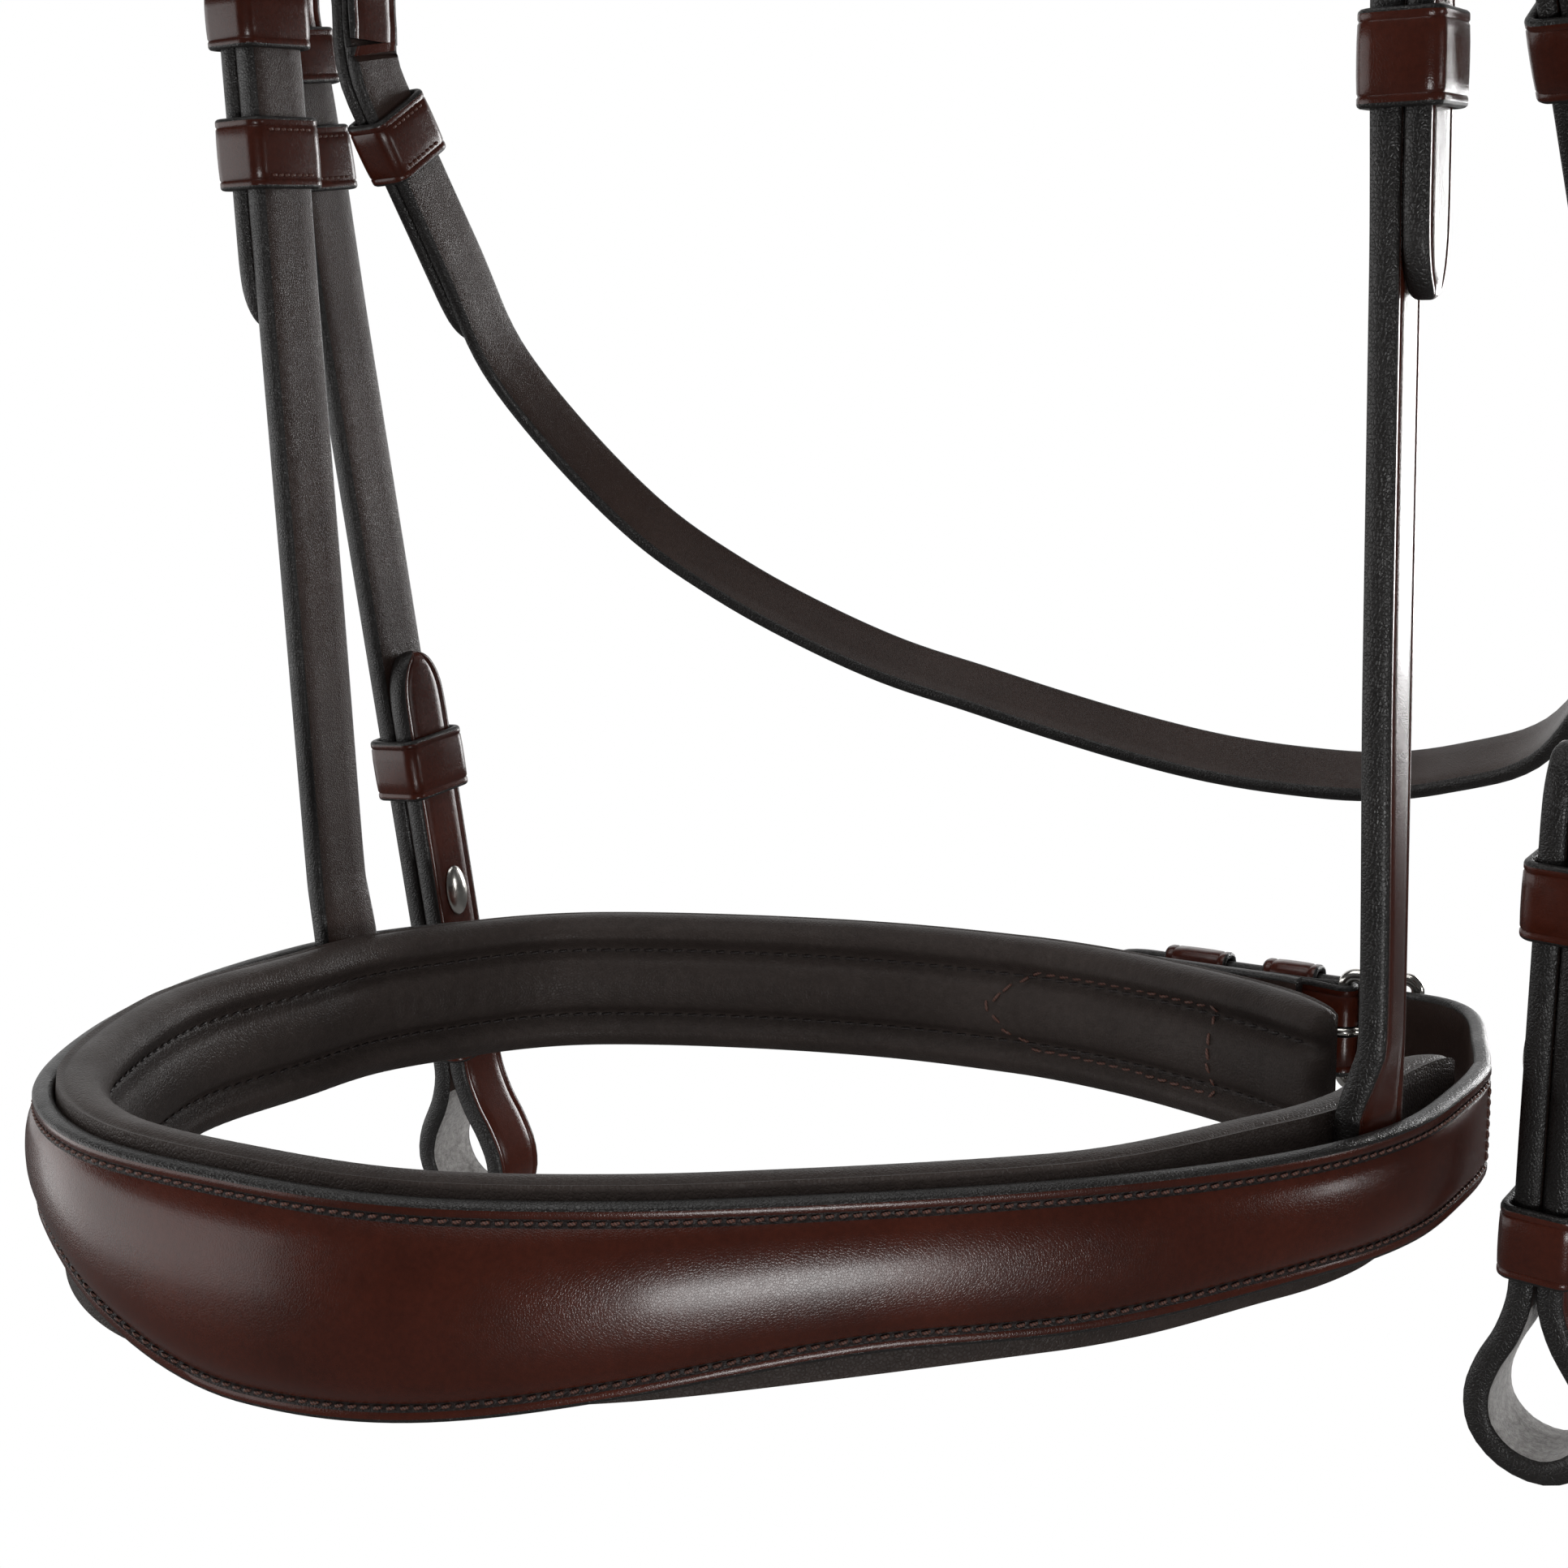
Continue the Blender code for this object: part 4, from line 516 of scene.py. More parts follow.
def strap_mesh(name, stations, step=STRAP_STEP, suede_from=None, face=-1.0):
    """A strap; face says which way its grain side lies from the path."""
    stations = refine(stations, step)
    rings, zones = strap_rings(stations, face)
    if suede_from:
        first, last = suede_from
        marks = [first < index < last for index in range(len(stations))]
        zones = [(lambda index: 4 if marks[index] else 2) if zone == 2 else zone for zone in zones]
    return skin(name, rings, zones)


def wire_mesh(name, points, radius, sides, hint, closed=False, tip=1.0):
    rings = []
    count = len(points)
    for index, along in enumerate(tangents(points, closed)):
        side = along.cross(hint).normalized()
        other = side.cross(along)
        size = radius
        if not closed and index > count - 5:
            size = radius * (tip + (1 - tip) * math.sqrt(max(0.0, (count - 1 - index) / 4)))
        rings.append([points[index] + (side * a + other * b) * size for a, b in circle(sides)])
    return skin(name, rings, None, closed, 60.0)


def rounded_rectangle(half_a, half_b, corner, parts):
    places = []
    for quarter, (a, b) in enumerate(((1, 1), (-1, 1), (-1, -1), (1, -1))):
        for part in range(parts + 1):
            turn = math.pi / 2 * (quarter + part / parts)
            places.append((a * (half_a - corner) + corner * math.cos(turn),
                           b * (half_b - corner) + corner * math.sin(turn)))
    return places


def stitches_mesh(name, places, long, radius, slant, proud):
    """Short sewn stitches: (point, along, normal), each dipping into its holes at both ends."""
    points, faces = [], []
    profile = ((-0.50, 0.42, -1.0), (-0.40, 0.86, -0.25), (-0.15, 1.0, 0.18), (0.15, 1.0, 0.18),
               (0.40, 0.86, -0.25), (0.50, 0.42, -1.0))
    sides = 7
    for point, along, normal in places:
        across = normal.cross(along).normalized()
        way = (along * math.cos(slant) + across * math.sin(slant)).normalized()
        side = normal.cross(way).normalized()
        base = len(points)
        for share, size, lift in profile:
            centre = point + way * (long * share) + normal * (radius * (proud + lift - 0.45))
            points += [centre + (side * a * radius * size + normal * b * radius * size * 0.8)
                       + HOME for a, b in circle(sides)]
        for ring in range(len(profile) - 1):
            for k in range(sides):
                a, b = base + ring * sides + k, base + ring * sides + (k + 1) % sides
                faces.append((a, b, b + sides, a + sides))
        faces.append(tuple(base + k for k in reversed(range(sides))))
        faces.append(tuple(base + (len(profile) - 1) * sides + k for k in range(sides)))
    mesh = closed_mesh(name, points, faces)
    mesh.shade_smooth()
    return mesh


def ease(share):
    share = min(max(share, 0.0), 1.0)
    return share * share * (3 - 2 * share)


def at_steps(start, end, step):
    parts = max(2, round((end - start) / step))
    return [start + (end - start) * k / parts for k in range(parts + 1)]


# Hanging straps


class Hang:
    """Frame of one hanging strap: its pivot, and the way down to its foot."""

    def __init__(self, side, pivot, foot, width, thick, billet_thick, bar_drop, twist=0.0):
        self.side = side
        self.pivot = Vector((pivot[0] * side, pivot[1], pivot[2]))
        foot_point = Vector((foot[0] * side, foot[1], foot[2]))
        up = (self.pivot - foot_point).normalized()
        across = (Vector((0, 1, 0)) - up * up.y).normalized()
        across.rotate(Matrix.Rotation(twist, 3, up))
        self.set_axes(across.cross(up), across, up)
        self.width, self.thick, self.billet_thick = width, thick, billet_thick
        self.bar_b = bar_drop
        self.bar_a = bar_drop + BUCKLE_LENGTH
        self.bend = None

    def set_axes(self, *axes):
        self.turn = Matrix(axes).transposed()

    def lean(self, drop):
        if self.bend is None:
            return 0.0
        start, length, turn = self.bend
        return turn * min(max((drop - start) / length, 0.0), 1.0)

    def place(self, out, drop, across=0.0):
        angle = self.lean(drop)
        back, down = 0.0, drop
        if angle:
            start, length, turn = self.bend
            radius = length / turn
            rest = max(drop - start - length, 0.0)
            back = radius * (1 - math.cos(angle)) + rest * math.sin(angle)
            down = start + radius * math.sin(angle) + rest * math.cos(angle)
        return Vector((out * self.side, back + across * math.cos(angle),
                       across * math.sin(angle) - down))

    def hint(self, drop):
        angle = self.lean(drop)
        return Vector((0, math.cos(angle), math.sin(angle)))

    def steps(self, first, last, shares):
        drops = [first + (last - first) * share for share in shares]
        if self.bend is not None:
            start, length, _ = self.bend
            drops = [drop for drop in drops if drop < start or drop > start + length]
            drops += [start + length * share for share in (0.0, 0.33, 0.67, 1.0)]
        return sorted(drops)

    def drop(self, rise):
        low, high = 0.0, POLL_RISE
        while high - low > GAP / 1000:
            middle = (low + high) / 2
            if self.spot(0.0, middle).z > rise:
                low = middle
            else:
                high = middle
        return high

    def lay(self):
        return self.thick / 2 + GAP + self.billet_thick / 2

    def bar_b_out(self):
        return self.billet_thick / 2 + GAP * 2 + BAR_RADIUS

    def fold_thick(self):
        return self.thick * FOLD_SHARE

    def fold_radius(self):
        return BAR_RADIUS + GAP + self.fold_thick() / 2

    def over(self):
        return self.fold_radius() + self.fold_thick() / 2 + GAP * 2 + self.billet_thick / 2

    def world(self, point):
        return self.pivot + self.turn @ point

    def spot(self, out, drop, across=0.0):
        return self.world(self.place(out, drop, across))

    def way(self, direction):
        return self.turn @ Vector(direction)


def fold_places(hang):
    fold, radius, base = hang.fold_thick(), hang.fold_radius(), hang.bar_a
    main = hang.thick - fold - GAP
    inner, outer = -(hang.thick - fold) / 2, (hang.thick - main) / 2
    neck, waist = radius * 1.4, radius * 2.8
    places = [(inner, base + FOLD_LEG, fold * 0.65), (inner, base + FOLD_LEG * 0.8, fold),
              (inner, base + waist, fold), ((inner - radius) / 2, base + neck, fold)]
    for part in range(7):
        turn = math.pi * part / 6
        places.append((-radius * math.cos(turn), base - radius * math.sin(turn), fold))
    places += [((outer + radius) / 2, base + neck, (fold + main) / 2), (outer, base + waist, main),
               (outer, base + FOLD_LEG, main), (0.0, base + FOLD_LEG * 1.25, hang.thick)]
    return places


def tongue_slot(hang):
    height = (hang.fold_radius() + hang.fold_thick()) * 2
    wide = (TONGUE_RADIUS + TONGUE_GAP) * 2
    centre = hang.spot(0.0, hang.bar_a - height * 0.2)
    rings = box_rings(centre, hang.way((1, 0, 0)), hang.way((0, 1, 0)), hang.way((0, 0, 1)),
                      (height * 1.4, wide, height))
    return skin("slot", rings)


def crossing_places(hang):
    top = hang.bar_b + BAR_RADIUS
    fall = hang.bar_a - BAR_RADIUS - top
    return [(hang.over() * share, top + fall * share) for share in (0.0, 0.33, 0.67, 1.0)]


def billet_places(hang, tip_drop, top):
    line = [(0.0, top), (0.0, hang.bar_b)] + crossing_places(hang)
    low = hang.bar_a + hang.fold_radius() * 3
    line += [(hang.over(), hang.bar_a + BAR_RADIUS * 0.5),
             ((hang.over() + hang.lay()) / 2, (hang.bar_a + low) / 2)]
    drops = hang.steps(low, tip_drop - TIP_LENGTH, (0.0, 0.35, 0.7))
    return line + [(hang.lay(), drop) for drop in drops]


def tongue_line(hang):
    wrap = BAR_RADIUS + TONGUE_GAP + TONGUE_RADIUS
    slant = hang.bar_b_out() / BUCKLE_LENGTH
    rest = hang.bar_b_out() + (BAR_RADIUS + TONGUE_RADIUS + GAP) * (1 + slant ** 2)
    turns = [math.radians(turn) for turn in (245.0, 280.0, 315.0, 350.0)]
    line = [(wrap * math.sin(turn), -wrap * math.cos(turn)) for turn in turns]
    start = line[-1]
    end = (rest, -BUCKLE_LENGTH)
    line += [(start[0] + (end[0] - start[0]) * share, start[1] + (end[1] - start[1]) * share)
             for share in (0.25, 0.6, 1.0)]
    return line + [(rest + TONGUE_RADIUS * 0.3, end[1] - BAR_RADIUS * 1.4)]


def slot_mesh(hang, thick):
    line = crossing_places(hang)
    first, last = Vector(line[0]), Vector(line[-1])
    bar = Vector((0.0, hang.bar_a))
    tongue = [bar + Vector(place) for place in tongue_line(hang)[3:7:3]]
    way, other = last - first, tongue[1] - tongue[0]
    share = (tongue[0] - first).cross(other) / way.cross(other)
    centre = first + way * share
    way.normalize()
    along = hang.way((way.x * hang.side, 0, -way.y))
    across = hang.way((0, 1, 0))
    sizes = (SLOT_LENGTH, (TONGUE_RADIUS + TONGUE_GAP) * 2, thick * 3)
    return skin("slot", box_rings(hang.spot(centre.x, centre.y), along, across,
                                  along.cross(across), sizes))


def tip_thick(share):
    """How much of its thickness a strap keeps near its rounded tip."""
    close = min(share * TIP_LENGTH / TIP_ROUND, 1.0)
    return TIP_LEAST + (1 - TIP_LEAST) * math.sqrt(1 - (1 - close) ** 2)


def tip_places(hang, out, tip, way, thick):
    """Places that narrow to a rounded tip; way is -1 where the tip lies lowest."""
    return [(out, tip + way * TIP_LENGTH * share, hang.width * wide, thick * tip_thick(share))
            for share, wide in reversed(TIP_SHARES)]


def billet_stations(hang, tip_drop, sideways):
    places = [(out, drop, hang.width, hang.billet_thick)
              for out, drop in billet_places(hang, tip_drop, 0.0)]
    places += tip_places(hang, hang.lay(), tip_drop, -1, hang.billet_thick)
    head = []
    reach = (hang.billet_thick if sideways else hang.width) / 2
    for share in (0.97, 0.75, 0.42):
        round_share = math.sqrt(1 - share ** 2)
        wide = hang.width if sideways else hang.width * round_share
        thick = hang.billet_thick * round_share if sideways else hang.billet_thick
        head.append((0.0, -reach * share, wide, thick))
    return [(hang.spot(out, drop), hang.way(hang.hint(drop)), wide, thick)
            for out, drop, wide, thick in head + places]


def dress_billet(hang, name, tip_drop, sideways):
    """Billet with its tongue slot, and punched holes over and under the one in use."""
    mesh = strap_mesh(name, billet_stations(hang, tip_drop, sideways), BILLET_STEP,
                      face=-hang.side)
    cutters = [slot_mesh(hang, hang.billet_thick)]
    low = hang.bar_a + hang.fold_radius() * 3
    face = hang.lay() + hang.billet_thick / 2
    for drop in (low + HOLE_PITCH, low + HOLE_PITCH * 2):
        if drop < tip_drop - TIP_LENGTH - HOLE_FROM_TIP:
            rings = [[hang.spot(reach, drop + HOLE_HALF_LONG * a, HOLE_HALF_WIDE * b)
                      for a, b in circle(14)] for reach in (hang.lay() - 0.0002, face + OVERRUN)]
            cutters.append(skin("punch", rings))
    dress(name, cut(mesh, cutters))


def dress_buckle(hang, name):
    low = hang.place(0.0, hang.bar_a)
    high = hang.place(hang.bar_b_out(), hang.bar_b)
    half_wide = hang.width / 2 + BUCKLE_SIDE_GAP + BAR_RADIUS
    rise = (high - low).normalized()
    half_long = (high - low).length / 2
    middle = (low + high) / 2
    points = [hang.world(middle + rise * a + ACROSS * b)
              for a, b in rounded_rectangle(half_long, half_wide, BUCKLE_CORNER, 9)]
    mesh = wire_mesh(name, points, BAR_RADIUS, 20, hang.way(rise.cross(ACROSS)), closed=True)
    dress(name, mesh, METAL_KIND)


def dress_tongue(hang, name):
    bar = hang.place(0.0, hang.bar_a)
    line = [(out * hang.side, 0.0, -down) for out, down in tongue_line(hang)]
    points = [hang.world(bar + point) for point in smooth_points(line, TONGUE_RADIUS * 0.7)]
    mesh = wire_mesh(name, points, TONGUE_RADIUS, 14, hang.way((0, 1, 0)), tip=0.45)
    dress(name, mesh, METAL_KIND)


def keeper_skin(hang, name, inner, outer, drop, height, wide, thick):
    """Keeper: a folded leather band with creased borders and painted edges."""
    half_out = (outer - inner + thick) / 2 + SLIDE_GAP
    half_wide = (wide + thick) / 2 + SLIDE_GAP
    middle = (inner + outer) / 2
    loop = rounded_rectangle(half_out, half_wide, KEEPER_CORNER + thick / 2, 6)
    section, zones = creased_section(thick / 2, height / 2, thick * 0.42,
                                     KEEPER_CREASE, KEEPER_CROWN, (0.0,), 6)
    rings = []
    for index, (a, b) in enumerate(loop):
        before, after = loop[index - 1], loop[(index + 1) % len(loop)]
        normal = Vector((after[1] - before[1], before[0] - after[0])).normalized()
        rings.append([hang.spot(middle + a + normal.x * x, drop - y,
                                            b + normal.y * x) for x, y in section])
    return skin(name, rings, zones, closed=True)


def dress_keeper(hang, name, inner, outer, drop, height, wide, thick, sewn=0):
    """sewn is +1 or -1 where the keeper's sewn join is on its outer or inner side."""
    mesh = keeper_skin(hang, name, inner, outer, drop, height, wide, thick)
    dress(name, mesh)
    if not sewn:
        return
    normal = hang.way((sewn * hang.side, 0, 0))
    reach = (outer if sewn > 0 else inner) + sewn * (thick + SLIDE_GAP + KEEPER_SEAM_LIFT)
    places = []
    for row in (-1, 1):
        for k in range(-3, 4):
            across = k * wide * 0.115
            spot = hang.spot(reach, drop + row * (height / 2 - KEEPER_ROW_IN), across)
            places.append((spot, hang.way(hang.hint(drop)), normal))
    sew(name + "_seam", places, name, (wide * 0.085, *KEEPER_STITCH))


def dress_loop(hang, name, drop, height, sewn=0):
    dress_keeper(hang, name, -hang.thick / 2, hang.lay() + hang.billet_thick / 2, drop, height,
                 hang.width, KEEPER_THICK, sewn)


def dress_hanging(hang, prefix, tip_drop, sideways, runner_rise):
    dress_billet(hang, prefix + "_billet", tip_drop, sideways)
    dress_buckle(hang, prefix + "_buckle")
    dress_tongue(hang, prefix + "_tongue")
    dress_loop(hang, prefix + "_runner", hang.drop(runner_rise), RUNNER_HEIGHT, sewn=-1)


def dress_cheek_strap(hang, name):
    places = [(out, drop, hang.width, thick) for out, drop, thick in fold_places(hang)]
    inner = -(hang.thick + CHEEK_LAYER_GAP)
    neck = hang.drop(BIT_LOOP_NECK_RISE)
    start = places[-1][1]
    for share in (0.25, 0.5, 0.75, 0.93):
        places.append((0.0, start + (neck - start) * share, hang.width, hang.thick))
    loop = [(BIT_LOOP_HALF_WIDTH * out, neck + BIT_LOOP_DROP * down)
            for out, down in BIT_LOOP_SHARES]
    loop = [(0.0, neck - BIT_LOOP_DROP * 0.1)] + loop + [(inner, neck - BIT_LOOP_DROP * 0.1)]
    first = len(places)
    for point in smooth_points([(*place, 0.0) for place in loop], BIT_LOOP_HALF_WIDTH * 0.5):
        places.append((point.x, point.y, hang.width, hang.thick))
    last = len(places)
    tip = hang.drop(CHEEK_TIP_RISE)
    turn = places[-1][1]
    for share in (0.33, 0.67):
        places.append((inner, turn + (tip + TIP_LENGTH - turn) * share, hang.width, hang.thick))
    places += tip_places(hang, inner, tip, 1, hang.thick)
    stations = [(hang.spot(out, drop), hang.way((0, 1, 0)), wide, thick)
                for out, drop, wide, thick in places]
    fine_first = len(refine(stations[:first + 2], CHEEK_STEP)) - 1
    fine_last = len(refine(stations[:last - 1], CHEEK_STEP)) - 1
    mesh = strap_mesh(name, stations, CHEEK_STEP, suede_from=(fine_first, fine_last),
                      face=-hang.side)
    drop, bore = hang.drop(STUD_RISE), STUD_SHANK_RADIUS + TONGUE_GAP
    rings = [[hang.spot(out, drop + bore * a, bore * b) for a, b in circle(16)]
             for out in (inner * 2, OVERRUN)]
    dress(name, cut(mesh, [tongue_slot(hang), skin("bar", rings)]))


def dress_stud(hang, name):
    """Hook stud: rivet outside, shank, and an oval domed head inside."""
    drop = hang.drop(STUD_RISE)
    inner = -(hang.thick * 1.5 + CHEEK_LAYER_GAP + GAP)
    outer = hang.thick / 2 + GAP
    head = [(inner - STUD_HEAD_THICK * math.sin(turn), math.cos(turn))
            for turn in (math.pi / 2 * k / 7 for k in range(7, -1, -1))]
    rings = [(out, STUD_HEAD_LENGTH / 2 * max(share, 0.06), STUD_HEAD_WIDTH / 2 * max(share, 0.06))
             for out, share in head]
    shank, rivet = STUD_SHANK_RADIUS, STUD_SHANK_RADIUS * 1.9
    rings += [(inner + FACE_LIFT, shank, shank), (outer, shank, shank),
              (outer + FACE_LIFT, rivet, rivet),
              (outer + STUD_HEAD_THICK * 0.35, rivet * 0.92, rivet * 0.92),
              (outer + STUD_HEAD_THICK * 0.5, rivet * 0.5, rivet * 0.5)]
    skins = [[hang.spot(out, drop + long * a, wide * b) for a, b in circle(28)]
             for out, long, wide in rings]
    dress(name, skin(name, skins, None, False, 50.0), METAL_KIND)


def dress_cheek(side_name, hang):
    prefix = side_name + "_cheek"
    dress_hanging(hang, prefix, hang.drop(BILLET_TIP_RISE), True, CHEEK_RUNNER_RISE)
    dress_loop(hang, prefix + "_keeper", hang.bar_a + KEEPER_DROP, KEEPER_HEIGHT)
    dress_cheek_strap(hang, prefix + "_strap")
    dress_stud(hang, side_name + "_hook_stud")
    inner = -(hang.thick * 1.5 + CHEEK_LAYER_GAP)
    for name, rise, height in (("_stud_runner", STUD_RUNNER_RISE, RUNNER_HEIGHT),
                               ("_stud_keeper", STUD_KEEPER_RISE, STUD_KEEPER_HEIGHT)):
        dress_keeper(hang, side_name + name, inner, hang.thick / 2, hang.drop(rise), height,
                     hang.width, KEEPER_THICK)


def dress_throat(hangs):
    ends = []
    for (side_name, _), hang in zip(SIDES, hangs):
        dress_hanging(hang, side_name + "_throat", hang.drop(BILLET_TIP_RISE), False,
                      THROAT_RUNNER_RISE)
        low = hang.drop(THROAT_HANG_RISE)
        places = fold_places(hang)
        drops = hang.steps(places[-1][1], low, (0.4, 0.7, 0.9, 1.0))
        places += [(0.0, drop, hang.thick) for drop in drops]
        ends.append([(hang.spot(out, drop), hang.way(hang.hint(drop)), THROAT_WIDTH,
                      thick) for out, drop, thick in places])
    near, off = ends[0], ends[1][::-1]
    top = near[-1][0]
    flat = Vector((0, math.cos(THROAT_TILT), math.sin(THROAT_TILT)))
    middle = [near[-3][0], top]
    for out, hung in THROAT_SHARES:
        middle.append(Vector((THROAT_HANG_OUT * out, top.y + THROAT_HANG_BACK * hung,
                              top.z - THROAT_HANG_DROP * hung)))
    middle += [off[0][0], off[2][0]]
    curve = smooth_points(middle, 0.006)
    stations = near[:-3] + [(point, flat, THROAT_WIDTH, THROAT_THICK) for point in curve] + off[3:]
    mesh = strap_mesh("throatlash", stations)
    dress("throatlash", cut(mesh, [tongue_slot(hang) for hang in hangs]))


# Noseband


class NoseRoute:
    """The noseband's plan as a measured curve."""

    def __init__(self):
        shaped = [Vector((x * NOSE_HALF_WIDTH, y * NOSE_REACH, 0)) for x, y in NOSE_ROUTE_SHARES]
        self.points = smooth_points(shaped, NOSE_STATION / 8)
        self.lengths = [0.0]
        for a, b in zip(self.points, self.points[1:]):
            self.lengths.append(self.lengths[-1] + (b - a).length)
        self.total = self.lengths[-1]
        self.middle = self.nearest(lambda p: p.y)

    def nearest(self, score, low=0, high=None):
        high = len(self.points) if high is None else high
        best = min(range(low, high), key=lambda index: score(self.points[index]))
        return self.lengths[best]

    def near_at(self, back):
        nose = self.lengths.index(self.middle)
        return self.nearest(lambda p: abs(p.y - back), low=nose)

    def off_at(self, back):
        nose = self.lengths.index(self.middle)
        return self.nearest(lambda p: abs(p.y - back), low=nose // 3, high=nose)

    def far_at(self, out):
        nose = self.lengths.index(self.middle)
        return self.nearest(lambda p: abs(p.x - out), high=nose // 2)

    def at(self, length):
        low, high = 1, len(self.lengths) - 1
        while low < high:
            index = (low + high) // 2
            if self.lengths[index] < length:
                low = index + 1
            else:
                high = index
        index = low
        span = self.lengths[index] - self.lengths[index - 1]
        share = (length - self.lengths[index - 1]) / span
        point = self.points[index - 1].lerp(self.points[index], share)
        back = self.points[max(index - 8, 0)]
        ahead = self.points[min(index + 7, len(self.points) - 1)]
        along = (ahead - back).normalized()
        return point, Vector((along.y, -along.x, 0))


def nose_swell(route, length, tapers):
    past = length - route.middle - NOSE_SHIFT
    away = min(abs(past) / tapers[1 if past > 0 else 0], 1.0)
    return (1 - away ** 2) ** 2


ROW_IN, GROOVE_HALF, GROOVE_DEEP = 0.0026, 0.00065, 0.00030
GROOVE_LINE = ((GROOVE_HALF, 0.0), (GROOVE_HALF * 0.4, -GROOVE_DEEP),
               (GROOVE_HALF * -0.4, -GROOVE_DEEP), (-GROOVE_HALF, 0.0))


def leather_sizes(route, length):
    start, end = LEATHER_FAR_START, route.near_at(NEAR_LEATHER_END_BACK)
    swell = nose_swell(route, length, LEATHER_TAPERS)
    past = length - route.middle - NOSE_SHIFT
    front = ease(min(past / FRONT_OFF_FADE + 1, (FRONT_NEAR_END - past) / FRONT_NEAR_FADE))
    depth = LEATHER_DEPTH + NOSE_EXTRA_DEPTH * swell + FRONT_EXTRA_DEPTH * front
    fade = ease(min(length - start - LEATHER_FLAT_LENGTH, end - length) / DOME_FADE)
    return depth, (DOME_SIDE + (DOME_NOSE - DOME_SIDE) * swell) * fade


def dome_at(share):
    line = smooth_points([(x, y, 0) for x, y in DOME_SHARES], 0.02)
    for a, b in zip(line, line[1:]):
        if a.x <= share <= b.x:
            return a.y + (b.y - a.y) * (share - a.x) / max(b.x - a.x, 1e-9)
    return 0.0


DOME_FINE = [(k / 22, max(dome_at(k / 22), 0.0)) for k in range(23)]


def dress_noseband_leather(route):
    """Domed outer leather with sewn grooves inside its painted edges."""
    start, end = LEATHER_FAR_START, route.near_at(NEAR_LEATHER_END_BACK)
    outside, half = GAP / 2 + LEATHER_RIM_THICK, LEATHER_RIM_THICK / 2
    middle = (GAP / 2 + outside) / 2

    def groove(level):
        return [(outside + rise, level + shift) for shift, rise in GROOVE_LINE]

    def rim(way, level):
        return [(middle + way * half * math.cos(turn),
                 level + way * EDGE_ROUND * (1 - math.sin(turn)))
                for turn in (math.pi * k / 6 for k in range(7))]

    rings = []
    for length in at_steps(start, end, NOSE_STEP):
        point, normal = route.at(length)
        depth, dome = leather_sizes(route, length)
        bottom = LEATHER_TOP - depth
        close = min(1.0, (min(length - start, end - length) + END_LEAST) / END_ROUND)
        shrink = (1 - math.sqrt(max(0.0, 1 - (1 - close) ** 2))) * END_SHRINK
        span = depth - (ROW_IN + GROOVE_HALF) * 2
        section = rim(-1, LEATHER_TOP) + groove(LEATHER_TOP - ROW_IN)
        section += [(outside + dome * height, LEATHER_TOP - ROW_IN - GROOVE_HALF - span * place)
                    for place, height in DOME_FINE[1:-1]]
        section += groove(bottom + ROW_IN) + rim(1, bottom)
        rings.append([point + normal * (middle + (out - middle) * (1 - shrink * 200))
                      + UP * (up + (shrink if up < (LEATHER_TOP + bottom) / 2 else -shrink))
                      for out, up in section])
    # Zone 3 gives the stitch grooves their painted shade
    sewn = [0, 3, 3, 3, 0]
    zones = [1] * 6 + sewn + [0] * (len(DOME_FINE) - 2) + sewn[1:] + [1] * 6 + [2]
    dress("noseband_leather", skin("noseband_leather", rings, zones))
    reach = outside - GROOVE_DEEP * 0.55
    for name, low in (("top", False), ("bottom", True)):
        places = []
        for length in at_steps(start + 0.004, end - 0.004, NOSE_PITCH):
            point, normal = route.at(length)
            depth, _ = leather_sizes(route, length)
            before = leather_sizes(route, length - SLOPE_REACH)[0]
            slope = (before - depth) / SLOPE_REACH if low else 0.0
            up = LEATHER_TOP - depth + ROW_IN if low else LEATHER_TOP - ROW_IN
            along = (normal.cross(UP) * -1 + UP * slope).normalized()
            places.append((point + normal * reach + UP * up, along, normal))
        sew("noseband_%s_stitches" % name, places, "noseband_leather", NOSE_STITCH)
    places = []
    point, normal = route.at(end - END_ROW_IN)
    for k in range(7):
        up = (LEATHER_TOP - ROW_IN - END_ROW_MARGIN
              - k * (LEATHER_DEPTH - ROW_IN * 2 - END_ROW_MARGIN * 2) / 6)
        places.append((point + normal * (outside + FACE_LIFT) + UP * up, UP, normal))
    sew("noseband_end_stitches", places, "noseband_leather", NOSE_END_STITCH)


def pocket(route, length):
    room = HANGER_THICK + GAP * 5
    give = 0.0
    for centre in (route.near_at(HANGER_FOOT[1]), route.off_at(HANGER_FOOT[1])):
        away = abs(length - centre) - (HANGER_WIDTH / 2 + NOSE_STATION)
        give = max(give, room * (1 - ease(away / POCKET_SLOPE)))
    return give


def lining_line():
    """Fine closed cross-section of the lining as (inward, upward) shares."""
    line = smooth_points([(a, b, 0) for a, b in LINING_SHARES], 0.045, closed=True)
    return [(min(max(p.x, 0.0), 1.0), min(max(p.y, 0.0), 1.0)) for p in line]


LINING_FINE = lining_line()


def lining_at(route, length, start, end):
    from_end = min(length - start, end - length)
    close = 0.35 + 0.65 * math.sqrt(max(0.0, 1 - (1 - min(from_end / LINING_END_ROUND, 1.0)) ** 2))
    curl = LINING_CURL * max(0.0, 1 - (length - start) / LINING_CURL_LENGTH) ** 1.7
    give = pocket(route, length) + curl + GAP / 2
    depth = LINING_DEPTH + LINING_EXTRA_DEPTH * nose_swell(route, length, LINING_TAPERS)
    return close, give, depth


def lining_height(depth, upward, close):
    return -depth / 2 + depth * (upward - 0.5) * (0.8 + 0.2 * close)


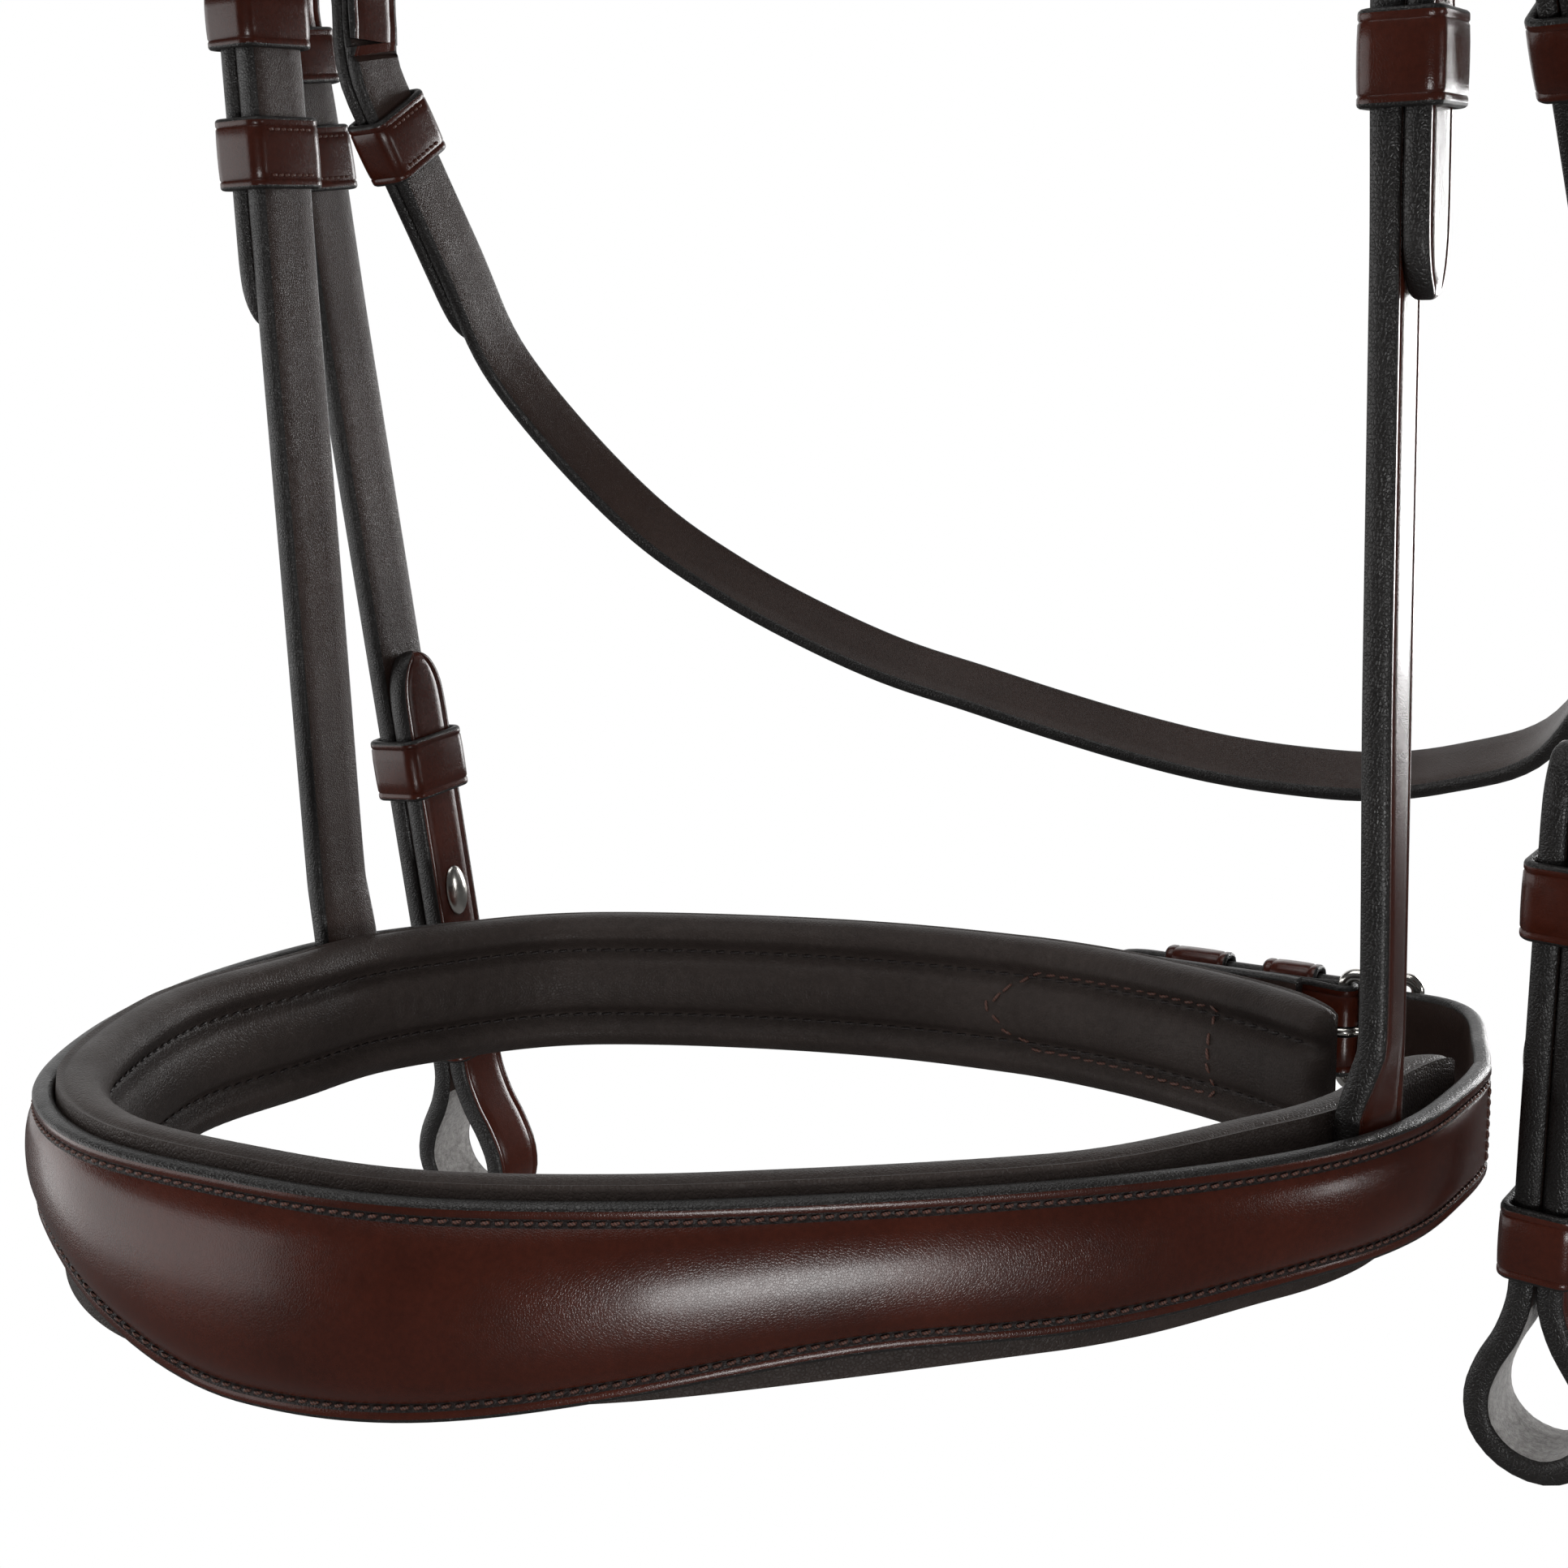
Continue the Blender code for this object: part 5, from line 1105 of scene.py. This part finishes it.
def dress_lining(route):
    """Padded lining: three rolls, two sewn channels and crosswise creases where it bends."""
    start, end = 0.0, route.near_at(NEAR_LEATHER_END_BACK) - EDGE_ROUND
    rings = []
    for length in at_steps(start, end, LINING_STEP):
        point, normal = route.at(length)
        close, give, depth = lining_at(route, length, start, end)
        a, b = route.at(max(length - 0.012, start))[1], route.at(min(length + 0.012, end))[1]
        bending = min(1.0, a.angle(b) / 0.45)
        crease = sum(share * math.sin(length * 2 * math.pi / pitch
                                      + sway * math.sin(length * pace))
                     for pitch, sway, pace, share in LINING_CREASES)
        ring = []
        for inward, upward in LINING_FINE:
            height = lining_height(depth, upward, close)
            roll = max(0.0, 1 - abs(upward - 0.5) / 0.2) * ease((inward - 0.6) / 0.3)
            pucker = ease((inward - 0.5) / 0.3) * ease((0.95 - inward) / 0.3)
            rough = -CREASE_DEPTH * (1 + crease) * roll * (0.25 + 0.75 * bending)
            rough -= PUCKER_DEPTH * (1 + math.sin(length * 2 * math.pi / PUCKER_PITCH)) * pucker
            inner = LINING_THICK * inward * close + rough
            ring.append(point - normal * (give + max(inner, 0.0)) + UP * height)
        rings.append(ring)
    mesh = skin("noseband_lining", rings, None, False, 60.0)
    # The near end's cap takes the pale grey suede as a painted highlight on the turned end of the
    # padding
    mesh.polygons[-1].material_index = 1
    dress("noseband_lining", mesh, ((LINING, SUEDE_AND_SHEEN), "black_lining"))

    def seam_spot(length, share, inward, lift):
        point, normal = route.at(length)
        close, give, depth = lining_at(route, length, start, end)
        inner = give + LINING_THICK * inward * close + lift
        return point - normal * inner + UP * lining_height(depth, share, close), normal

    for name, share in LINING_CHANNELS:
        places = []
        for length in at_steps(start + 0.006, end - 0.008, LINING_PITCH):
            spot, normal = seam_spot(length, share, CHANNEL_IN, SEAM_LIFT)
            places.append((spot, normal.cross(UP), -normal))
        sew("lining_%s_stitches" % name, places, "noseband_lining", LINING_STITCH,
            LINING_SEWN_KIND)
    # The patch that holds the buckle's chape, sewn through from outside
    far = route.far_at(CHAPE_END_OUT) + PATCH_OVER
    outline = [(PATCH_NEAR, 0.80), (PATCH_NEAR, 0.20), (far - PATCH_CORNER, 0.22),
               (far - PATCH_CORNER * 0.4, 0.34), (far, 0.52), (far - PATCH_CORNER * 0.4, 0.66),
               (far - PATCH_CORNER, 0.78), (PATCH_NEAR, 0.80)]
    line = sorted((b, a) for a, b in LINING_FINE if a > 0.5)
    spots = []
    for (l0, s0), (l1, s1) in zip(outline, outline[1:]):
        span = math.hypot(l1 - l0, (s1 - s0) * LINING_DEPTH)
        for part in at_steps(0.0, 1.0, PATCH_PITCH / max(span, PATCH_PITCH))[:-1]:
            share = s0 + (s1 - s0) * part
            inward = min(line, key=lambda item: abs(item[0] - share))[1]
            spots.append(seam_spot(l0 + (l1 - l0) * part, share, inward, 0.0))
    places = []
    for index, (spot, normal) in enumerate(spots):
        ahead = spots[(index + 1) % len(spots)][0] - spots[index - 1][0]
        places.append((spot, ahead.normalized(), -normal))
    sew("chape_patch_stitches", places, "noseband_lining", PATCH_STITCH,
        ((BROWN_THREAD,), "black_lining"))


def dress_hanger_strap(hang, name, wall, normal):
    places = fold_places(hang)
    start, foot = places[-1][1], hang.drop(-HANGER_SUNK)
    turn = hang.turn.transposed()
    bend, edge = hang.drop(HANGER_BEND_RISE), hang.drop(0.0)
    inset = abs(wall.x) - GAP * 2.5 - HANGER_THICK / 2 - abs(hang.spot(0.0, edge).x)
    along = turn @ UP.cross(normal)
    along = along if along.y > 0 else -along
    drops = [start + (bend - start) * share for share in (0.3, 0.65, 1.0)]
    drops += [bend + (edge - bend) * share for share in (0.5, 1.0)]
    drops += [edge + (foot - edge) * share for share in (0.5, 1.0)]
    places += [(inset * ease((drop - bend) / (edge - bend)), drop, hang.thick) for drop in drops]
    stations = []
    for out, drop, thick in places:
        hint = ACROSS.lerp(along, ease((drop - bend) / (edge - bend)))
        stations.append((hang.spot(out, drop), hang.way(hint), hang.width, thick))
    mesh = strap_mesh(name, stations, HANGER_STEP, face=-hang.side)
    dress(name, cut(mesh, [tongue_slot(hang)]))


def strap_level():
    return LEATHER_TOP - LEATHER_DEPTH / 2


def rear_hang():
    hang = Hang(1.0, (0.0, 0.0, 1.0), (0.0, 0.0, 0.0), REAR_WIDTH, CHAPE_THICK, REAR_THICK,
                BAR_RADIUS * 2)
    hang.set_axes(Vector((0, 1, 0)), Vector((0, 0, 1)), Vector((1, 0, 0)))
    hang.pivot = Vector((REAR_BAR_OUT + hang.bar_a, REAR_BAR_BACK, strap_level()))
    return hang


def wall_points(route, first, last, out):
    points = []
    for length in at_steps(first, last, NOSE_STATION):
        point, normal = route.at(length)
        points.append(point + normal * out + UP * strap_level())
    return points


def rear_mesh(name, points, thicks, tip, thick):
    """A strap on edge through points, narrowing to its tip."""
    stations = [(point, UP, REAR_WIDTH, here) for point, here in zip(points, thicks)]
    stations += [(point, UP, REAR_WIDTH * wide, thick * tip_thick(share))
                 for point, (share, wide) in zip(tip, reversed(TIP_SHARES[:-1]))]
    return strap_mesh(name, stations, BILLET_STEP)


def dress_rear(route):
    hang = rear_hang()
    start = route.near_at(NEAR_LEATHER_END_BACK) + GAP
    line = wall_points(route, start, route.total, GAP / 2 + LEATHER_RIM_THICK / 2)
    places = [(0.0, 0.0)] + crossing_places(hang)
    places += [(hang.over(), hang.bar_a + BAR_RADIUS * share) for share in (0.5, 4.0)]
    through = [hang.spot(out, drop) for out, drop in places]
    span = (through[0] - line[-1]).length * REAR_BEND_REACH
    bridge = interpolate_bezier(line[-1], line[-1] + (line[-1] - line[-2]).normalized() * span,
                                through[0] + Vector((span, 0, 0)), through[0], 8)[1:-1]
    lay, level = REAR_BAR_BACK + hang.over(), strap_level()
    first = through[-1].x - NOSE_STATION
    rest = [Vector((first + (REAR_TIP_OUT + TIP_LENGTH - first) * share, lay, level))
            for share in (0.0, 0.35, 0.7, 1.0)]
    points = line + bridge + through + rest
    tip_shares = [share for share, _ in reversed(TIP_SHARES[:-1])]
    tip = [Vector((REAR_TIP_OUT + TIP_LENGTH * share, lay, level)) for share in tip_shares]
    mesh = rear_mesh("noseband_rear_strap", points, [REAR_THICK] * len(points), tip, REAR_THICK)
    dress("noseband_rear_strap", cut(mesh, [slot_mesh(hang, REAR_THICK)]))
    folds = fold_places(hang)
    lay = GAP / 2 + LEATHER_RIM_THICK + GAP + CHAPE_THICK / 2
    first = route.far_at(REAR_BAR_OUT - folds[-1][1] + hang.bar_a - NOSE_STATION)
    line = wall_points(route, first, route.far_at(CHAPE_END_OUT), lay)
    points = [hang.spot(out, drop) for out, drop, _ in folds] + line
    thicks = [thick for _, _, thick in folds] + [CHAPE_THICK] * len(line)
    way = (points[-1] - points[-2]).normalized()
    tip = [line[-1] + way * TIP_LENGTH * (1 - share) for share in tip_shares]
    mesh = rear_mesh("noseband_chape", points, thicks, tip, CHAPE_THICK)
    dress("noseband_chape", cut(mesh, [tongue_slot(hang)]))
    dress_buckle(hang, "noseband_buckle")
    dress_tongue(hang, "noseband_tongue")
    middle = hang.over()
    for name, out, height in (("noseband_keeper", REAR_KEEPER_OUT, KEEPER_HEIGHT),
                              ("noseband_runner", REAR_RUNNER_OUT, RUNNER_HEIGHT)):
        dress_keeper(hang, name, middle - REAR_THICK / 2, middle + REAR_THICK / 2,
                     hang.pivot.x - out, height, REAR_WIDTH, REAR_KEEPER_THICK)


# Headpiece


def arch_points(shift_up):
    half = []
    for out, down, forward in ARCH_SHARES:
        half.append(Vector((ARCH_HALF_WIDTH * out, POLL_BACK - ARCH_FORWARD * forward,
                            POLL_RISE - ARCH_DROP * down)))
    raised = []
    for point, way in zip(half, tangents(half)):
        flat = Vector((way.x, 0, way.z)).normalized()
        raised.append(point + Vector((-flat.z, 0, flat.x)) * shift_up)
    raised[0].x = 0.0
    return raised


def mirrored_route(half):
    return [Vector((-p.x, p.y, p.z)) for p in reversed(half[1:])] + half


def tail_points(start, hang, clear, bulge):
    end = hang.world(Vector((0, 0, clear)))
    above = hang.world(Vector((0, 0, clear + hang.width * 0.6)))
    middle = start.lerp(above, 0.55) + Vector((bulge * hang.side, 0, 0))
    return [start, middle, above, end]


def crown_width(point):
    share = ease(abs(point.x) / ARCH_HALF_WIDTH)
    return CROWN_WIDTH + (CROWN_SPLIT_WIDTH - CROWN_WIDTH) * share


def dress_crown(cheeks, throats):
    half = arch_points(PAD_THICK + GAP * 5 + HEAD_STRAP_THICK + CROWN_THICK / 2)
    points = smooth_points(mirrored_route(half), 0.007)
    stations = [(point, ACROSS, crown_width(point), CROWN_THICK) for point in points]
    dress("headpiece_crown", strap_mesh("headpiece_crown", stations, HEAD_STEP))
    for side, name in ((-1, "front"), (1, "back")):
        places = []
        for point, way in list(zip(points, tangents(points)))[3:-3]:
            normal = Vector((-way.z, 0, way.x)).normalized()
            places.append((point + ACROSS * (side * (crown_width(point) / 2 - ROW_INSET))
                           + normal * (CROWN_THICK / 2 + FACE_LIFT), way, normal))
        finer = []
        for (p, w, n), (q, _, _) in zip(places, places[1:]):
            finer += [(p, w, n), (p.lerp(q, 0.5), w, n)]
        sew("crown_%s_stitches" % name, finer, "headpiece_crown", CROWN_STITCH)
    start = half[-1].lerp(half[-2], 0.12)
    for kind, hangs, back in (("cheek", cheeks, -1.0), ("throat", throats, 1.0)):
        for (side_name, _), hang in zip(SIDES, hangs):
            clear = (hang.billet_thick if kind == "cheek" else hang.width) / 2 + GAP * 2
            shift = back * (CROWN_SPLIT_WIDTH / 2 - hang.width / 2 - EDGE_ROUND)
            first = Vector((start.x * hang.side, start.y + shift, start.z))
            route = smooth_points(tail_points(first, hang, clear, CROWN_THICK * 0.5), 0.008)
            stations = [(point, ACROSS, hang.width, TAIL_THICK) for point in route]
            mesh = strap_mesh("tail", stations, TAIL_STEP, face=-hang.side)
            add("%s_%s_tail" % (side_name, kind), mesh, STRAP_SET, "headpiece_crown")


def dress_head_strap(hangs):
    half = arch_points(PAD_THICK + GAP * 2 + HEAD_STRAP_THICK / 2)
    last = half.pop() + Vector((-HEAD_STRAP_THICK * 0.6, -HEAD_STRAP_WIDTH * 0.35, 0))
    half += tail_points(last, hangs[0], HANGER_WIDTH / 2 + GAP * 2, 0.0)
    points = smooth_points(mirrored_route(half), NOSE_STATION * 1.3)
    stations = [(point, ACROSS, HEAD_STRAP_WIDTH, HEAD_STRAP_THICK) for point in points]
    dress("noseband_head_strap", strap_mesh("noseband_head_strap", stations, HEAD_STEP))


def dress_pad():
    """Poll pad: soft black leather over padding."""
    half = arch_points(PAD_THICK / 2)[:-1]
    points = smooth_points(mirrored_route(half), 0.005)
    section = ((0.42, 0.5), (0.5, 0.3), (0.5, -0.1), (0.42, -0.4), (0.2, -0.5), (0.0, -0.43),
               (-0.2, -0.5), (-0.42, -0.4), (-0.5, -0.1), (-0.5, 0.3), (-0.42, 0.5))
    fine = smooth_points([(a, b, 0) for a, b in section], 0.05, closed=True)
    rings = []
    reach = half[-1].x
    for point, along in zip(points, tangents(points)):
        normal = Vector((-along.z, 0, along.x)).normalized()
        share = min(abs(point.x) / reach, 1.0)
        wide = PAD_WIDTH * (0.55 + 0.45 * math.sqrt(1 - share ** 6))
        rings.append([point + ACROSS * (p.x * wide) + normal * (min(p.y, 0.5) * PAD_THICK)
                      for p in fine])
    dress("crown_pad", skin("crown_pad", rings, None, False, 60.0), ((LINING,), "black_lining"))


def dress_browband():
    outer = CHEEK_PIVOT[0] + (TAIL_THICK + BROW_THICK) / 2 + BROW_ROOM
    inner = HANGER_PIVOT[0] - (HEAD_STRAP_THICK + BROW_THICK) / 2 - BROW_SLACK
    front = HANGER_PIVOT[1] - (HEAD_STRAP_WIDTH + BROW_THICK) / 2 - BROW_SLACK
    rear = THROAT_PIVOT[1] + (THROAT_WIDTH + BROW_THICK) / 2 + GAP
    middle = (inner + outer) / 2
    corner = BROW_THICK * 1.9
    fold = BROW_THICK + GAP
    half = [(0.0, -BROW_REACH), (inner * 0.34, -BROW_REACH * 0.965),
            (inner * 0.68, -BROW_REACH * 0.83), (inner * 0.94, -BROW_REACH * 0.61),
            (middle * 0.975, -BROW_REACH * 0.40), (outer - corner * 0.5, front - corner * 0.5),
            (outer, front + corner), (outer, (front + rear) / 2), (outer, rear - corner),
            (outer - corner, rear), (inner + corner, rear), (inner, rear - corner),
            (inner, (front + rear) / 2), (inner, front + corner),
            (inner + corner * 0.4, front - corner * 0.35),
            (middle * 0.975 - fold, -BROW_REACH * 0.31 + fold)]
    near = [Vector((x, y, BROW_RISE)) for x, y in half]
    points = smooth_points(mirrored_route(near), BROW_STEP)
    stations = [(point, UP, BROW_HEIGHT, BROW_THICK) for point in points]
    dress("browband", strap_mesh("browband", stations, TAIL_STEP))
    ways = tangents(points)
    for name, side in (("top", 1), ("bottom", -1)):
        places = []
        for point, way in zip(points, ways):
            if point.y > HOME.y - 0.03 and abs(point.x) > 0.09:
                continue
            normal = Vector((way.y, -way.x, 0)).normalized()
            if normal.dot(Vector((point.x, point.y, 0))) < 0:
                normal = -normal
            for shift in (-0.0011, 0.0011):
                places.append((point + way * shift + normal * (BROW_THICK / 2 + FACE_LIFT)
                               + UP * (side * (BROW_HEIGHT / 2 - ROW_INSET)), way, normal))
        sew("browband_%s_stitches" % name, places, "browband", BROW_STITCH)


# All the pieces

route = NoseRoute()
cheeks, throats, hangers = [], [], []
for (_, side), foot_out in zip(SIDES, THROAT_FEET):
    cheeks.append(Hang(side, CHEEK_PIVOT, CHEEK_FOOT, CHEEK_WIDTH, CHEEK_THICK, BILLET_THICK,
                       CHEEK_BAR_DROP))
    throat = Hang(side, THROAT_PIVOT, (foot_out, THROAT_PIVOT[1], THROAT_FOOT_RISE), THROAT_WIDTH,
                  THROAT_THICK, THROAT_BILLET_THICK, THROAT_BAR_DROP)
    throat.bend = (THROAT_BEND_DROP, THROAT_BEND_LENGTH, THROAT_TILT)
    throats.append(throat)
    hangers.append(Hang(side, HANGER_PIVOT, HANGER_FOOT, HANGER_WIDTH, HANGER_THICK, BILLET_THICK,
                        HANGER_BAR_DROP, NEAR_TWIST if side > 0 else 0.0))
walls = (route.at(route.near_at(HANGER_FOOT[1])), route.at(route.off_at(HANGER_FOOT[1])))
for (side_name, _), hang, (wall, normal) in zip(SIDES, hangers, walls):
    prefix = side_name + "_hanger"
    dress_hanging(hang, prefix, hang.drop(BILLET_TIP_RISE), False, RUNNER_RISE)
    dress_loop(hang, prefix + "_keeper", hang.bar_a + KEEPER_DROP, KEEPER_HEIGHT)
    dress_hanger_strap(hang, prefix + "_strap", wall, normal)
for (side_name, _), hang in zip(SIDES, cheeks):
    dress_cheek(side_name, hang)
dress_throat(throats)
dress_noseband_leather(route)
dress_lining(route)
dress_rear(route)
dress_crown(cheeks, throats)
dress_head_strap(hangers)
dress_pad()
dress_browband()

# Studio: floor, world, lamps and camera


def studio():
    scene = bpy.context.scene
    scene.view_settings.view_transform = 'Standard'
    world = bpy.data.worlds.new("studio")
    scene.world = world
    world.use_nodes = True
    tree = world.node_tree
    place = node(tree, "ShaderNodeTexCoord").outputs["Generated"]
    toward = node(tree, "ShaderNodeVectorMath", {0: place, 1: BACKDROP_WAY},
                  operation='DOT_PRODUCT').outputs["Value"]
    path = node(tree, "ShaderNodeLightPath").outputs
    seen = maths(tree, 'MAXIMUM', path["Is Glossy Ray"], path["Is Transmission Ray"])
    mirror = mixed(tree, seen, AMBIENT, mapped(tree, 0.06, 1.0, toward, 0.60, 0.76))
    fill(tree.nodes["Background"],
         {"Color": mixed(tree, path["Is Camera Ray"], mirror, WHITE), "Strength": 1.0})
    world.cycles.sampling_method = 'NONE'

    floor_mesh = bpy.data.meshes.new("studio_floor")
    corners = [(x * FLOOR_HALF, y * FLOOR_HALF, FLOOR_LEVEL)
               for x, y in ((-1, -1), (1, -1), (1, 1), (-1, 1))]
    floor_mesh.from_pydata(corners, [], [(0, 1, 2, 3)])
    floor = bpy.data.objects.new("studio_floor", floor_mesh)
    scene.collection.objects.link(floor)
    material, tree, shader, place = new_material("pale_floor")
    flat = node(tree, "ShaderNodeVectorMath", {0: place, 1: (1, 1, 0)}, operation='MULTIPLY')
    away = node(tree, "ShaderNodeVectorMath", {0: flat.outputs[0]}, operation='LENGTH')
    path = node(tree, "ShaderNodeLightPath").outputs
    seen = maths(tree, 'MAXIMUM', path["Is Camera Ray"], path["Is Transmission Ray"])
    fill(shader, {"Base Color": mixed(tree, seen, FLOOR_UNSEEN, FLOOR_SEEN), "Roughness": 0.9,
                  "Specular IOR Level": 0.1})
    far = maths(tree, 'MULTIPLY', seen,
                mapped(tree, 0.0, 1.0, away.outputs["Value"], *GLOW_FADE))
    glow = node(tree, "ShaderNodeEmission", {"Strength": 1.0})
    mix = node(tree, "ShaderNodeMixShader",
               {0: far, 1: shader.outputs[0], 2: glow.outputs[0]})
    fill(tree.nodes["Material Output"], {"Surface": mix.outputs[0]})
    floor_mesh.materials.append(material)

    def lamp(name, place, aim, size, power, size_y=None):
        light = bpy.data.lights.new(name, 'AREA')
        light.shape = 'RECTANGLE'
        light.size, light.size_y, light.energy = size, size_y or size, power
        holder = bpy.data.objects.new(name, light)
        scene.collection.objects.link(holder)
        holder.location = place
        holder.rotation_euler = (Vector(aim) - Vector(place)).to_track_quat('-Z', 'Y').to_euler()

    middle = (0.0, -0.03, -0.3)
    lamp("top_softbox", (0.0, -0.35, 1.0), middle, 1.2, 9.5)
    lamp("left_softbox", (-1.43, -0.90, -0.38), middle, 2.2, 14.0, 1.05)
    lamp("back_softbox", (0.24, 1.25, -0.15), (0.1, 0.0, -0.25), 0.34, 8.0, 0.52)
    lamp("front_softbox", (1.06, -0.97, -0.78), (0.06, -0.1, -0.37), 0.42, 7.0, 0.24)
    lamp("near_softbox", (1.34, 0.40, -0.29), (0.11, -0.03, -0.36), 0.22, 1.4)

    camera = bpy.data.cameras.new("camera")
    camera.lens, camera.sensor_width, camera.clip_start = LENS_LENGTH, SENSOR_WIDTH, CLIP_START
    holder = bpy.data.objects.new("camera", camera)
    scene.collection.objects.link(holder)
    turn, tilt = math.radians(CAMERA_TURN), math.radians(CAMERA_TILT)
    away = Vector((math.sin(turn) * math.cos(tilt), -math.cos(turn) * math.cos(tilt),
                   math.sin(tilt)))
    right = Vector((math.cos(turn), math.sin(turn), 0))
    axes = Matrix((right, away.cross(right), away)).transposed().to_4x4()
    holder.matrix_world = Matrix.Translation(CAMERA_PLACE) @ axes
    scene.camera = holder


studio()
